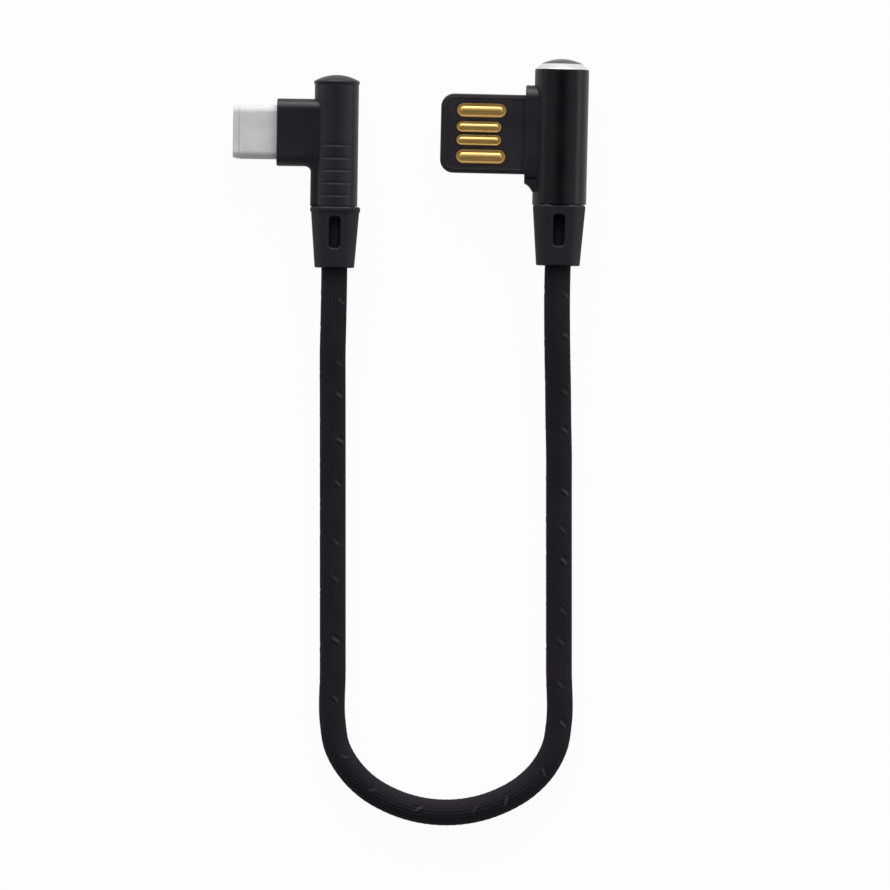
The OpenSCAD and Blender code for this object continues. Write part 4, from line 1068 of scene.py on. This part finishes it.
def studio_world():
    """Soft studio light: pale walls, a ceiling that darkens overhead, less light from the front and the
    left, and a bright window at the back."""
    world = bpy.data.worlds.new("studio")
    bpy.context.scene.world = world
    world.use_nodes = True
    tree = world.node_tree
    tree.nodes.clear()
    way = add(tree, "ShaderNodeTexCoord").outputs["Generated"]
    way = add(tree, "ShaderNodeSeparateXYZ", {"Vector": way}).outputs
    walls = add(tree, "ShaderNodeValToRGB", {"Fac": way["Z"]})
    ramp = walls.color_ramp
    ramp.interpolation = "EASE"
    ramp.elements[0].position, ramp.elements[1].position = CEILING[0][0], CEILING[-1][0]
    for place, _ in CEILING[1:-1]:
        ramp.elements.new(place)
    for element, (_, grey) in zip(ramp.elements, CEILING):
        element.color = (grey, grey, grey, 1.0)
    level = walls.outputs["Color"]
    for axis, low, high, least in FALLS:
        inputs = {"Value": way[axis], "From Min": low, "From Max": high, "To Min": least, "To Max": 1.0}
        fall = add(tree, "ShaderNodeMapRange", inputs, interpolation_type="SMOOTHSTEP")
        inputs = {0: level, 1: fall.outputs["Result"]}
        level = add(tree, "ShaderNodeMath", inputs, operation="MULTIPLY").outputs[0]
    back = add(tree, "ShaderNodeMath", {0: way["Y"], 1: 0.0}, operation="MAXIMUM").outputs[0]
    back = add(tree, "ShaderNodeMath", {0: back, 1: 2.0}, operation="POWER").outputs[0]
    inputs = {0: back, 1: BACK_GLOW, 2: level}
    level = add(tree, "ShaderNodeMath", inputs, operation="MULTIPLY_ADD").outputs[0]
    light = add(tree, "ShaderNodeBackground", {"Color": level})
    add(tree, "ShaderNodeOutputWorld", {"Surface": light.outputs["Background"]})


def softbox(name, place, target, size, power):
    """A rectangular lamp of a size in metres at a place, turned to its target."""
    data = bpy.data.lights.new(name, "AREA")
    data.shape = "RECTANGLE"
    data.size, data.size_y = size
    data.energy = power
    lamp = bpy.data.objects.new(name, data)
    lamp.location = place
    lamp.rotation_euler = (Vector(target) - Vector(place)).to_track_quat("-Z", "Y").to_euler()
    bpy.context.scene.collection.objects.link(lamp)


corners = [(-FLOOR, -FLOOR, 0), (FLOOR, -FLOOR, 0), (FLOOR, FLOOR, 0), (-FLOOR, FLOOR, 0)]
floor = new_mesh("floor", corners, [(0, 1, 2, 3)])
floor.data.materials.append(white_floor())
studio_world()
softbox("back_softbox", (0.0, 0.72, 0.32), (0.0, 0.0, 0.0), size=(0.8, 0.5), power=3.8)
softbox("left_softbox", (-0.8, -0.03, 0.11), (0.0, -0.03, 0.0), size=(0.9, 0.2), power=0.15)
softbox("right_softbox", (0.8, -0.03, 0.11), (0.0, -0.03, 0.0), size=(0.9, 0.2), power=0.6)


# ---------- camera ----------

# The image is 890 pixels wide, at 6.6 of them to a millimetre in the plane of the plugs
IMAGE_PX = 890
PX_PER_MM = 6.6
VIEW_MIDDLE = (4.92, -42.77)
LENS_MM = 400
SENSOR_MM = 36

camera_data = bpy.data.cameras.new("camera")
camera_data.lens = LENS_MM
camera_data.sensor_width = SENSOR_MM
camera_data.clip_start = 0.01
camera = bpy.data.objects.new("camera", camera_data)
view_width = IMAGE_PX / PX_PER_MM * MM
camera.location = (
    VIEW_MIDDLE[0] * MM, VIEW_MIDDLE[1] * MM,
    view_width * LENS_MM / SENSOR_MM + DEVICE_AXIS_Z * MM,
)
bpy.context.scene.collection.objects.link(camera)
bpy.context.scene.camera = camera
bpy.context.scene.view_settings.view_transform = "Standard"
